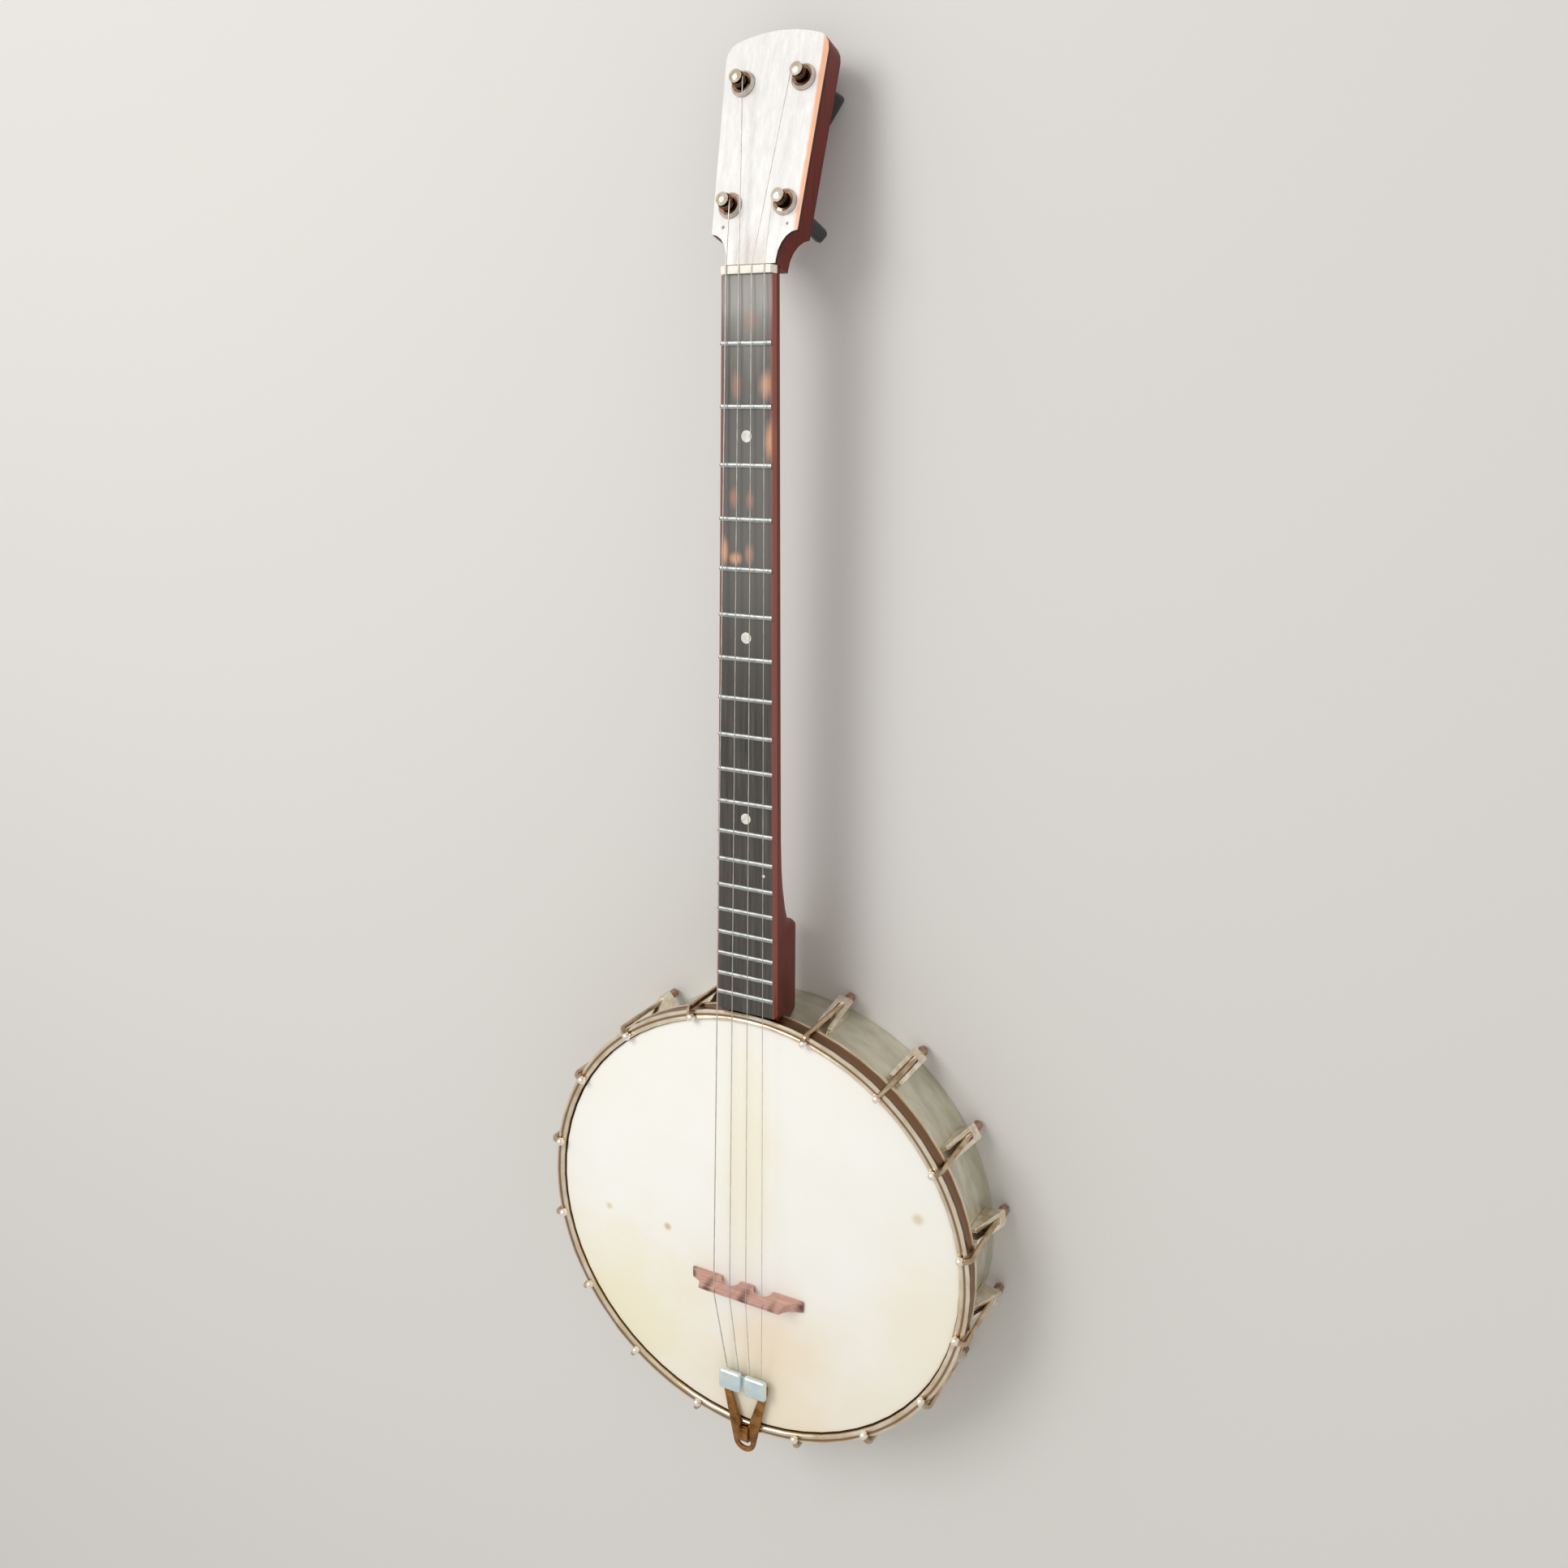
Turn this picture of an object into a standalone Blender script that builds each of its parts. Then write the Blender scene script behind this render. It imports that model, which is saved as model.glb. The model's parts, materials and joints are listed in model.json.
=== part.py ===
"""Tenor banjo, modelled as it comes apart on a bench.

Driving sizes are in millimetres. The banjo lies on its back: +X is to the right, +Y runs up the
neck and +Z comes out of the head. Local heights count from the top of the vellum, and local
Y counts from the head's centre. The root empty moves that origin to the middle of the base.
"""
import math

import bmesh
import bpy
from mathutils import Matrix, Vector

MM = 0.001

# Fits
seat_gap = 0.3
bolt_clearance = 0.3

# Strings and frets
scale_length = 578.0
fret_count = 19
bridge_offset = 40.0
string_radii = (0.38, 0.30, 0.24, 0.20)
string_spread_bridge = 33.0
string_spread_nut = 21.6
string_spread_tail = 24.0
coil_turns = 3
coil_points = 24
coil_self_gap = 0.45

# Pot
rim_outer_radius = 132.4
rim_wall = 8.4
rim_depth = 59.5
rim_top_chamfer = 1.0
cladding_wall = 0.7
cladding_top = -2.6
cladding_lip = 5.4
vellum_thickness = 0.5
skirt_bottom = -8.8
flesh_hoop_size = 2.8
hoop_top = 2.0
hoop_bottom = -10.5
hoop_apron = 1.9
hoop_bead = 0.5
ring_facets = 64

# Hooks, shoes and their nuts
hooks_per_side = 8
first_hook_angle = 15.6
last_hook_angle = 165.4
hook_rod_radius = 1.65
hook_bend_radius = 3.15
hook_reach = 2.9
nut_barrel_radius = 3.1
nut_end = -57.8
shoe_front = -22.5
shoe_back = -48.2
shoe_width = 16.0
shoe_slot = 6.0
shoe_closed_end = 5.2
shoe_front_height = 2.6
shoe_back_height = 13.6
shoe_corner = 4.5
shoe_tip_corner = 1.6

# Neck, fingerboard and nut
board_end = 142.5
board_top = 4.0
board_thickness = 4.7
half_width_nut = 14.35
half_width_end = 18.4
fret_width = 2.2
fret_height = 1.0
nut_thickness = 3.9
nut_height = 1.5
neck_depth_nut = 12.5
neck_depth_body = 15.5
heel_start = 270.0
heel_step = 190.0
heel_step_length = 7.0
heel_front_depth = 33.0
heel_depth = 45.5
heel_taper = 0.36

# Peghead
peghead_tilt = 15.0
peghead_drop = 1.8
peghead_start = 5.2
peghead_shoulder = 21.0
peghead_side_end = 108.0
peghead_length = 120.3
peghead_half_neck = 14.2
peghead_half_shoulder = 24.2
peghead_half_top = 28.6
peghead_corner = 7.0
veneer_thickness = 1.5
peghead_thickness = 12.2

# Pegs and their bushes
peg_rows = ((34.8, 15.4), (95.4, 16.8))
peg_turns = (-39.0, 62.0)
post_radius = 2.8
post_height = 10.2
post_cap_radius = 3.4
bush_radius = 6.5
bush_height = 1.8
collar_radius = 5.2
collar_height = 1.6
button_top = -17.6
button_end = -35.0
button_width_top = 11.0
button_width_end = 17.0
button_thickness = 7.6
button_edge = 2.2

# Bridge
bridge_height = 12.4
bridge_half_foot = 38.0
bridge_half_crown = 27.5
bridge_foot_thickness = 7.0
bridge_crown_thickness = 2.4
bridge_foot_tip = 2.6
arch_near = 4.6
arch_far = 17.6
arch_height = 6.2

# Dowel and tail bolt
dowel_width = 18.0
dowel_height = 16.0
dowel_tail_share = 0.9
dowel_level = -32.0
mortise_depth = 14.5
tail_bolt_radius = 2.5
tail_bolt_head = 5.0
tail_bolt_head_height = 2.8
tail_bolt_grip = 15.0

# Tailpiece
tail_plate_front = -97.0
tail_plate_back = -110.6
tail_plate_half_width = 16.3
tail_plate_thickness = 1.0
tail_plate_lip = 2.4
tail_plate_slot = 1.8
tail_frame_level = 2.5
tail_frame_thickness = 2.0
tail_arm_width = 4.6
tail_loop_offset = 147.0
tail_loop_radius = 7.6
tail_loop_hole = 4.4
hanger_width = 6.4
hanger_thickness = 2.0
hanger_tip = 136.4
hanger_foot = -42.0

# Derived places
nut_line = scale_length - bridge_offset
neck_top = board_top - board_thickness - seat_gap
cladding_radius = rim_outer_radius + seat_gap + cladding_wall
skirt_inner = cladding_radius + seat_gap
skirt_outer = skirt_inner + vellum_thickness
flesh_inner = skirt_outer + seat_gap
flesh_outer = flesh_inner + flesh_hoop_size
flesh_bottom = skirt_bottom + vellum_thickness + seat_gap
flesh_top = flesh_bottom + flesh_hoop_size
lip_inner = flesh_outer + seat_gap
lip_outer = lip_inner + vellum_thickness
hoop_inner = skirt_outer + 0.4
hoop_outer = lip_outer + seat_gap + hoop_apron
hook_line = hoop_outer + seat_gap + hook_rod_radius
peghead_angle = math.radians(peghead_tilt)
peghead_origin = Vector((0.0, nut_line, board_top - peghead_drop))
core_top = -veneer_thickness - seat_gap
core_back = core_top - peghead_thickness
tail_end = -(tail_loop_offset + tail_loop_radius)
peghead_end = nut_line + peghead_length * math.cos(peghead_angle)
centre_line = (tail_end + peghead_end) / 2


def clear_scene():
    """Empty the scene of its starting objects."""
    for item in list(bpy.data.objects):
        bpy.data.objects.remove(item, do_unlink=True)


def finish(name, colour, roughness, metallic):
    """A plain Principled material."""
    material = bpy.data.materials.new(name)
    material.use_nodes = True
    shader = material.node_tree.nodes["Principled BSDF"]
    shader.inputs["Base Color"].default_value = (*colour, 1.0)
    shader.inputs["Roughness"].default_value = roughness
    shader.inputs["Metallic"].default_value = metallic
    return material


def add_object(name, data, parent, material=None):
    """Link a new object below its parent."""
    item = bpy.data.objects.new(name, data)
    bpy.context.scene.collection.objects.link(item)
    item.parent = parent
    if material is not None and not data.materials:
        data.materials.append(material)
    return item


def add_empty(name, parent, location=(0.0, 0.0, 0.0), tilt=0.0):
    """An empty that carries a group of parts."""
    item = bpy.data.objects.new(name, None)
    bpy.context.scene.collection.objects.link(item)
    item.parent = parent
    item.location = Vector(location) * MM
    item.rotation_euler = (tilt, 0.0, 0.0)
    return item


def mesh_from(name, mesh_builder, smooth_angle=None):
    """Close a bmesh into a mesh with outward normals, in metres."""
    bmesh.ops.remove_doubles(mesh_builder, verts=mesh_builder.verts, dist=1e-4)
    bmesh.ops.recalc_face_normals(mesh_builder, faces=mesh_builder.faces)
    bmesh.ops.scale(mesh_builder, vec=(MM, MM, MM), verts=mesh_builder.verts)
    mesh = bpy.data.meshes.new(name)
    mesh_builder.to_mesh(mesh)
    mesh_builder.free()
    if smooth_angle is not None:
        mesh.set_sharp_from_angle(angle=math.radians(smooth_angle))
    return mesh


def lathe(name, profile, facets, closed=True, smooth_angle=35.0):
    """Spin a profile of (radius, height) points about Z."""
    builder = bmesh.new()
    points = [builder.verts.new((radius, 0.0, height)) for radius, height in profile]
    edges = [builder.edges.new(pair) for pair in zip(points, points[1:])]
    if closed:
        edges.append(builder.edges.new((points[-1], points[0])))
    bmesh.ops.spin(builder, geom=points + edges, cent=(0, 0, 0), axis=(0, 0, 1),
                   angle=math.tau, steps=facets, use_merge=True)
    return mesh_from(name, builder, smooth_angle)


def extrude_outline(name, outline, place, rise, smooth_angle=None):
    """Extrude a flat outline. place(u, v) gives its points and rise is the extrusion vector."""
    builder = bmesh.new()
    base = builder.faces.new([builder.verts.new(place(u, v)) for u, v in outline])
    grown = bmesh.ops.extrude_face_region(builder, geom=[base])
    top = [part for part in grown["geom"] if isinstance(part, bmesh.types.BMVert)]
    bmesh.ops.translate(builder, vec=rise, verts=top)
    return mesh_from(name, builder, smooth_angle)


def box_mesh(name, low, high):
    """A plain box between two corners."""
    builder = bmesh.new()
    size = [b - a for a, b in zip(low, high)]
    middle = [(a + b) / 2 for a, b in zip(low, high)]
    bmesh.ops.create_cube(builder, size=1.0, matrix=Matrix.Translation(middle) @ Matrix.Diagonal((*size, 1.0)))
    return mesh_from(name, builder)


def rod_mesh(name, radius, start, end, facets=20):
    """A plain round rod along Z, from one height to another."""
    return lathe(name, [(0.0, start), (radius, start), (radius, end), (0.0, end)], facets, closed=False)


def apply_boolean(target, operand, operation="DIFFERENCE"):
    """Cut or join one object with another, which stays hidden."""
    operand.hide_render = True
    operand.display_type = "WIRE"
    operand.hide_set(True)
    modifier = target.modifiers.new(operation.lower(), "BOOLEAN")
    modifier.object = operand
    modifier.operation = operation
    modifier.solver = "EXACT"


def baked(item):
    """The mesh of an object with its modifiers applied, for copies to share."""
    bpy.context.view_layer.update()
    graph = bpy.context.evaluated_depsgraph_get()
    mesh = bpy.data.meshes.new_from_object(item.evaluated_get(graph))
    for modifier in list(item.modifiers):
        operand = modifier.object
        item.modifiers.remove(modifier)
        bpy.data.objects.remove(operand, do_unlink=True)
    bpy.data.objects.remove(item, do_unlink=True)
    return mesh


def tube(name, points, radius, factors=None):
    """A round tube along points, with its ends filled."""
    curve = bpy.data.curves.new(name, "CURVE")
    curve.dimensions = "3D"
    curve.bevel_depth = radius * MM
    curve.bevel_resolution = 1
    curve.use_fill_caps = True
    spline = curve.splines.new("POLY")
    spline.points.add(len(points) - 1)
    for index, (knot, point) in enumerate(zip(spline.points, points)):
        knot.co = (*(Vector(point) * MM), 1.0)
        knot.radius = factors[index] if factors else 1.0
    return curve


def ease(share):
    """A smooth step from 0 to 1."""
    share = min(max(share, 0.0), 1.0)
    return share * share * (3.0 - 2.0 * share)


def fret_line(number):
    """Distance of a fret from the head's centre, by the twelfth root of two."""
    return scale_length * 2.0 ** (-number / 12.0) - bridge_offset


def board_half_width(y):
    """Half the fingerboard's width at a place along the neck."""
    share = (y - board_end) / (nut_line - board_end)
    return half_width_end + (half_width_nut - half_width_end) * share


def peghead_point(x, along, above):
    """A point given in the peghead's own directions, in the pot's frame."""
    turn = Matrix.Rotation(-peghead_angle, 3, "X")
    return peghead_origin + turn @ Vector((x, along, above))


def string_lane(index, spread):
    """A string's place across the neck."""
    return spread * (index / (len(string_radii) - 1) - 0.5)


# The pot

def build_rim(root, wood, metal):
    """Wooden rim with its metal cladding, both let through for the dowel and the tail bolt."""
    inner = rim_outer_radius - rim_wall
    top = -vellum_thickness - seat_gap
    bottom = -rim_depth + cladding_wall + seat_gap
    shell_profile = [
        (inner, top),
        (rim_outer_radius - rim_top_chamfer, top),
        (rim_outer_radius, top - rim_top_chamfer),
        (rim_outer_radius, bottom),
        (inner, bottom),
    ]
    shell = add_object("rim_shell", lathe("rim_shell", shell_profile, ring_facets), root, wood)
    wall = cladding_radius - cladding_wall
    lip = cladding_radius - cladding_lip
    cladding_profile = [
        (wall, cladding_top),
        (cladding_radius, cladding_top),
        (cladding_radius, -rim_depth + cladding_wall),
        (cladding_radius - cladding_wall, -rim_depth),
        (lip, -rim_depth),
        (lip, -rim_depth + cladding_wall),
        (wall, -rim_depth + cladding_wall),
    ]
    cladding = add_object("rim_cladding", lathe("rim_cladding", cladding_profile, ring_facets), root, metal)
    half_width = dowel_width / 2 + seat_gap
    half_height = dowel_height / 2 + seat_gap
    dowel_hole = box_mesh("dowel_hole", (-half_width, 100.0, dowel_level - half_height),
                          (half_width, 150.0, dowel_level + half_height))
    bolt_hole = rod_mesh("bolt_hole", tail_bolt_radius + bolt_clearance, 100.0, 150.0)
    for part in (shell, cladding):
        opening = add_object(part.name + "_dowel_hole", dowel_hole, root)
        apply_boolean(part, opening)
        bore = add_object(part.name + "_bolt_hole", bolt_hole, root)
        aim_at_tail(bore, dowel_level)
        apply_boolean(part, bore)
    return shell, cladding


def aim_at_tail(item, level):
    """Turn a rod made along Z so that it points at the tail, at one height."""
    item.rotation_euler = (math.pi / 2, 0.0, 0.0)
    item.location = (0.0, 0.0, level * MM)


def build_head(root, skin, wire, brass):
    """Vellum, the flesh hoop that it is tucked round, and the tension hoop."""
    vellum_profile = [
        (0.0, 0.0),
        (rim_outer_radius, 0.0),
        (skirt_inner, -vellum_thickness),
        (skirt_outer, -1.8),
        (skirt_outer, skirt_bottom + vellum_thickness),
        (lip_inner, skirt_bottom + vellum_thickness),
        (lip_inner, flesh_top),
        (lip_outer, flesh_top),
        (lip_outer, skirt_bottom),
        (skirt_inner, skirt_bottom),
        (skirt_inner, -2.1),
        (rim_outer_radius + 0.6, -2 * vellum_thickness),
        (rim_outer_radius - 0.2, -vellum_thickness),
        (0.0, -vellum_thickness),
    ]
    vellum = lathe("vellum_head", vellum_profile, ring_facets, closed=False)
    add_object("vellum_head", vellum, root, skin)
    flesh_profile = [
        (flesh_inner, flesh_bottom),
        (flesh_outer, flesh_bottom),
        (flesh_outer, flesh_top),
        (flesh_inner, flesh_top),
    ]
    add_object("flesh_hoop", lathe("flesh_hoop", flesh_profile, ring_facets), root, wire)
    add_object("tension_hoop", lathe("tension_hoop", hoop_profile(), ring_facets), root, brass)


def hoop_profile():
    """Section of the tension hoop: two beads and a groove on top, and an apron over the flesh hoop."""
    ledge = flesh_top + seat_gap
    step = lip_outer + seat_gap
    groove = hoop_inner + 3.0
    wall = hoop_outer - hoop_bead
    return [
        (hoop_inner, ledge),
        (hoop_inner, hoop_top - hoop_bead),
        (hoop_inner + hoop_bead, hoop_top),
        (groove - 0.7, hoop_top),
        (groove, hoop_top - 0.8),
        (groove + 0.7, hoop_top),
        (hoop_outer - 1.0, hoop_top),
        (hoop_outer, hoop_top - 1.0),
        (hoop_outer, hoop_top - 1.8),
        (wall, hoop_top - 2.4),
        (wall, hoop_bottom + 1.5),
        (hoop_outer, hoop_bottom + 1.0),
        (hoop_outer, hoop_bottom),
        (step, hoop_bottom),
        (step, ledge),
    ]


def build_dowel(root, wood, metal):
    """Dowel stick from the heel's mortise to the tail, with the tail bolt in its end."""
    tail = -(rim_outer_radius - rim_wall - 0.7)
    heel = cladding_radius + seat_gap + mortise_depth - seat_gap
    builder = bmesh.new()
    bmesh.ops.create_cube(builder, size=1.0)
    for point in builder.verts:
        share = dowel_tail_share if point.co.y < 0 else 1.0
        point.co.x *= dowel_width * share
        point.co.z = dowel_level + point.co.z * dowel_height * share
        point.co.y = tail if point.co.y < 0 else heel
    stick = add_object("dowel_stick", mesh_from("dowel_stick", builder), root, wood)
    bore = rod_mesh("dowel_bore", tail_bolt_radius + bolt_clearance, -tail - tail_bolt_grip - 1.0, -tail + 5.0)
    drill = add_object("dowel_stick_bore", bore, root)
    aim_at_tail(drill, dowel_level)
    apply_boolean(stick, drill)
    seat = skirt_inner + 0.1 + hanger_thickness + seat_gap
    bolt_profile = [
        (0.0, -tail - tail_bolt_grip),
        (tail_bolt_radius, -tail - tail_bolt_grip),
        (tail_bolt_radius, seat),
        (tail_bolt_head, seat),
        (tail_bolt_head, seat + tail_bolt_head_height * 0.6),
        (tail_bolt_head * 0.7, seat + tail_bolt_head_height),
        (0.0, seat + tail_bolt_head_height),
    ]
    bolt = add_object("tail_bolt", lathe("tail_bolt", bolt_profile, 16, closed=False), root, metal)
    aim_at_tail(bolt, dowel_level)


# Hooks and shoes

def hook_places():
    """Angles of the hooks about the head, clockwise from the neck, right side then left."""
    step = (last_hook_angle - first_hook_angle) / (hooks_per_side - 1)
    right = [first_hook_angle + step * index for index in range(hooks_per_side)]
    left = [360.0 - angle for angle in reversed(right)]
    return right + left


def hook_curve():
    """One bracket hook with its nut, bent over the hoop, made at +Y."""
    bend_centre = hook_line - hook_bend_radius
    bend_level = hoop_top + seat_gap + hook_rod_radius - hook_bend_radius
    nut_share = nut_barrel_radius / hook_rod_radius
    stations = [
        (hook_line, nut_end, 0.9),
        (hook_line, nut_end + 0.4, nut_share * 0.82),
        (hook_line, nut_end + 1.5, nut_share),
        (hook_line, shoe_back - seat_gap - 0.1, nut_share),
        (hook_line, shoe_back - seat_gap, 1.0),
    ]
    for index in range(6):
        turn = math.radians(18.0 * index)
        reach = bend_centre + hook_bend_radius * math.cos(turn)
        level = bend_level + hook_bend_radius * math.sin(turn)
        stations.append((reach, level, 1.0))
    tip = bend_level + hook_bend_radius
    stations.append((bend_centre - hook_reach * 0.7, tip, 1.0))
    stations.append((bend_centre - hook_reach, tip - 0.1, 0.72))
    points = [(0.0, reach, level) for reach, level, _ in stations]
    return tube("bracket_hook", points, hook_rod_radius, [share for _, _, share in stations])


def shoe_outline():
    """Horseshoe outline of a shoe, as (across, height) points from its right arm's inner edge."""
    half = shoe_width / 2
    slot = shoe_slot / 2
    slot_end = shoe_back + shoe_closed_end
    right = [(slot, slot_end + slot * 0.6), (slot, shoe_front), (half - shoe_tip_corner, shoe_front)]
    right.append((half, shoe_front - shoe_tip_corner))
    for index in range(4):
        turn = math.radians(30.0 * index)
        across = half - shoe_corner + shoe_corner * math.cos(turn)
        level = shoe_back + shoe_corner - shoe_corner * math.sin(turn)
        right.append((across, level))
    left = [(-across, level) for across, level in reversed(right)]
    return right + left + [(-slot * 0.5, slot_end), (slot * 0.5, slot_end)]


def shoe_mesh(root, metal):
    """One shoe at +Y: a horseshoe on the rim, rising to the end that the hook passes through."""
    seat = cladding_radius + seat_gap + 0.2
    slope = (shoe_back_height - shoe_front_height) / (shoe_front - shoe_back)

    def on_rim(across, level):
        return across, math.sqrt(seat * seat - across * across), level

    builder = bmesh.new()
    base = builder.faces.new([builder.verts.new(on_rim(*point)) for point in shoe_outline()])
    grown = bmesh.ops.extrude_face_region(builder, geom=[base])
    for part in grown["geom"]:
        if isinstance(part, bmesh.types.BMVert):
            part.co.y = seat + shoe_front_height + slope * (shoe_front - part.co.z)
    shoe = add_object("shoe_blank", mesh_from("shoe_blank", builder), root, metal)
    bore_mesh = rod_mesh("shoe_bore", hook_rod_radius + seat_gap, shoe_back - 5.0, shoe_front + 5.0, 12)
    bore = add_object("shoe_bore", bore_mesh, root)
    bore.location = (0.0, hook_line * MM, 0.0)
    apply_boolean(shoe, bore)
    return baked(shoe)


def build_brackets(root, hook_metal, shoe_metal):
    """Sixteen hooks with nuts, each through its shoe."""
    curve = hook_curve()
    mesh = shoe_mesh(root, shoe_metal)
    for number, angle in enumerate(hook_places(), start=1):
        for name, data, metal in (("hook", curve, hook_metal), ("shoe", mesh, shoe_metal)):
            item = add_object(f"{name}_{number:02d}", data, root, metal)
            item.rotation_euler = (0.0, 0.0, -math.radians(angle))


# The neck

def neck_depth(y):
    """Depth of the neck below its top, growing into the heel."""
    share = (nut_line - y) / (nut_line - heel_start)
    depth = neck_depth_nut + (neck_depth_body - neck_depth_nut) * min(share, 1.0)
    if y < heel_start:
        sweep = min((heel_start - y) / (heel_start - heel_step), 1.0)
        depth += (heel_front_depth - neck_depth_body) * sweep ** 2.2
    depth += (heel_depth - heel_front_depth) * ease((heel_step - y) / heel_step_length)
    return depth


def core_level(y):
    """Height of the peghead core's front face at a place along the neck."""
    return peghead_point(0.0, 0.0, core_top).z - (y - nut_line) * math.tan(peghead_angle)


def neck_section(y):
    """One closed section across the neck, as points."""
    heel_share = ease((heel_start - y) / (heel_start - heel_step))
    squareness = 1.0 - 0.35 * heel_share
    taper = heel_taper * heel_share
    top = min(neck_top, core_level(y) - seat_gap)
    half = board_half_width(min(y, nut_line))
    depth = neck_depth(min(y, nut_line))
    if y > nut_line:
        sunk = ease((y - nut_line) / 20.0)
        half -= 1.6 * sunk
        back = core_level(y) - peghead_thickness / math.cos(peghead_angle) + 0.6
        depth += (top - back - depth) * sunk
    points = []
    steps = 14
    for index in range(steps + 1):
        turn = math.pi * index / steps
        down = math.sin(turn) ** squareness
        side = math.copysign(abs(math.cos(turn)) ** squareness, math.cos(turn))
        points.append((half * side * (1.0 - taper * down), y, top - depth * down))
    return points


def neck_stations():
    """Places of the neck's sections, closer together where its shape turns."""
    heel = [120.0, 150.0, heel_step - heel_step_length]
    heel += [heel_step - heel_step_length * share for share in (0.7, 0.45, 0.2, 0.0)]
    sweep = [heel_step + (heel_start - heel_step) * share for share in (0.12, 0.28, 0.46, 0.68, 1.0)]
    body = [heel_start + (nut_line - heel_start) * share for share in (0.25, 0.5, 0.75, 1.0)]
    volute = [nut_line + step for step in (5.0, 10.0, 16.0, 24.0, 34.0)]
    return heel + sweep + body + volute


def neck_loft():
    """The neck from heel to volute, by bridging its sections."""
    builder = bmesh.new()
    rings = []
    for y in neck_stations():
        points = [builder.verts.new(point) for point in neck_section(y)]
        rings.append([builder.edges.new(pair) for pair in zip(points, points[1:] + points[:1])])
    for lower, upper in zip(rings, rings[1:]):
        bmesh.ops.bridge_loops(builder, edges=lower + upper)
    bmesh.ops.holes_fill(builder, edges=rings[0] + rings[-1], sides=0)
    return mesh_from("neck", builder, 40.0)


def peghead_outline():
    """Outline of the peghead in its own plane, as (across, along) points."""
    cove_width = peghead_half_shoulder - peghead_half_neck
    cove_start = peghead_start + 1.8
    cove_length = peghead_shoulder - cove_start
    right = [(peghead_half_neck, peghead_start)]
    for index in range(6):
        turn = math.radians(18.0 * index)
        across = peghead_half_shoulder - cove_width * math.cos(turn)
        right.append((across, cove_start + cove_length * math.sin(turn)))
    corner_centre = peghead_half_top - peghead_corner
    for index in range(4):
        turn = math.radians(24.0 * index)
        across = corner_centre + peghead_corner * math.cos(turn)
        right.append((across, peghead_side_end + peghead_corner * 1.25 * math.sin(turn)))
    start_across, start_along = right[-1]
    for share in (0.72, 0.4, 0.0):
        across = start_across * share
        rise = peghead_length - start_along
        right.append((across, start_along + rise * (1.0 - share ** 2)))
    left = [(-across, along) for across, along in reversed(right[:-1])]
    return right + left


def peghead_slab(name, top, thickness):
    """A slab with the peghead's outline, in the peghead's own frame."""
    return extrude_outline(name, peghead_outline(), lambda u, v: (u, v, top), (0.0, 0.0, -thickness))


def build_neck(root, peghead, wood, face_wood):
    """Neck with its peghead core, cut to the pot, the dowel and the pegs, and the peghead's face."""
    neck = add_object("neck", neck_loft(), root, wood)
    slab = add_object("neck_peghead_core", peghead_slab("peghead_core", core_top, peghead_thickness), peghead, wood)
    apply_boolean(neck, slab, "UNION")
    pot_profile = [
        (0.0, -80.0),
        (cladding_radius + seat_gap, -80.0),
        (cladding_radius + seat_gap, hoop_bottom - seat_gap),
        (hoop_outer + seat_gap, hoop_bottom - seat_gap),
        (hoop_outer + seat_gap, 20.0),
        (0.0, 20.0),
    ]
    pot = add_object("neck_pot_cut", lathe("pot_cut", pot_profile, ring_facets, closed=False), root)
    apply_boolean(neck, pot)
    half_width = dowel_width / 2 + seat_gap
    half_height = dowel_height / 2 + seat_gap
    mortise_end = cladding_radius + seat_gap + mortise_depth
    mortise_mesh = box_mesh("mortise", (-half_width, 100.0, dowel_level - half_height),
                            (half_width, mortise_end, dowel_level + half_height))
    mortise = add_object("neck_mortise", mortise_mesh, root)
    apply_boolean(neck, mortise)
    face = add_object("peghead_face", peghead_slab("peghead_face", 0.0, veneer_thickness), peghead, face_wood)
    bore_mesh = rod_mesh("peg_bore", post_radius + bolt_clearance, core_back - 5.0, 5.0)
    for number, (across, along) in enumerate(peg_places(), start=1):
        for part in (neck, face):
            bore = add_object(f"{part.name}_bore_{number}", bore_mesh, peghead)
            bore.location = Vector((across, along, 0.0)) * MM
            apply_boolean(part, bore)


def build_fingerboard(root, wood):
    """Fingerboard with its frets, from one side profile drawn in to the neck's taper."""
    bottom = board_top - board_thickness
    profile = [(board_end, bottom), (board_end, board_top)]
    for number in range(fret_count, 0, -1):
        middle = fret_line(number)
        profile.append((middle - fret_width / 2, board_top))
        profile.append((middle - fret_width / 5, board_top + fret_height))
        profile.append((middle + fret_width / 5, board_top + fret_height))
        profile.append((middle + fret_width / 2, board_top))
    profile += [(nut_line, board_top), (nut_line, bottom)]
    mesh = extrude_outline("fingerboard", profile, lambda u, v: (-1.0, u, v), (2.0, 0.0, 0.0))
    for point in mesh.vertices:
        point.co.x *= board_half_width(point.co.y / MM)
    add_object("fingerboard", mesh, root, wood)


def notched_top(half_width, level, spread):
    """Top edge of a nut or bridge from right to left, with a notch under each string."""
    points = [(half_width, level)]
    for index in reversed(range(len(string_radii))):
        lane = string_lane(index, spread)
        depth = string_radii[index]
        reach = string_radii[index] + seat_gap
        points += [(lane + reach, level), (lane + reach * 0.6, level - depth)]
        points += [(lane - reach * 0.6, level - depth), (lane - reach, level)]
    points.append((-half_width, level))
    return points


def build_nut(root, bone):
    """Bone nut across the end of the fingerboard, notched for the strings."""
    bottom = board_top - board_thickness
    top = board_top + nut_height
    half = half_width_nut + 0.2
    outline = [(-half, bottom), (half, bottom)] + notched_top(half - 0.5, top, string_spread_nut)
    start = nut_line + seat_gap
    mesh = extrude_outline("nut", outline, lambda u, v: (u, start, v), (0.0, nut_thickness, 0.0))
    add_object("nut", mesh, root, bone)


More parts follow.
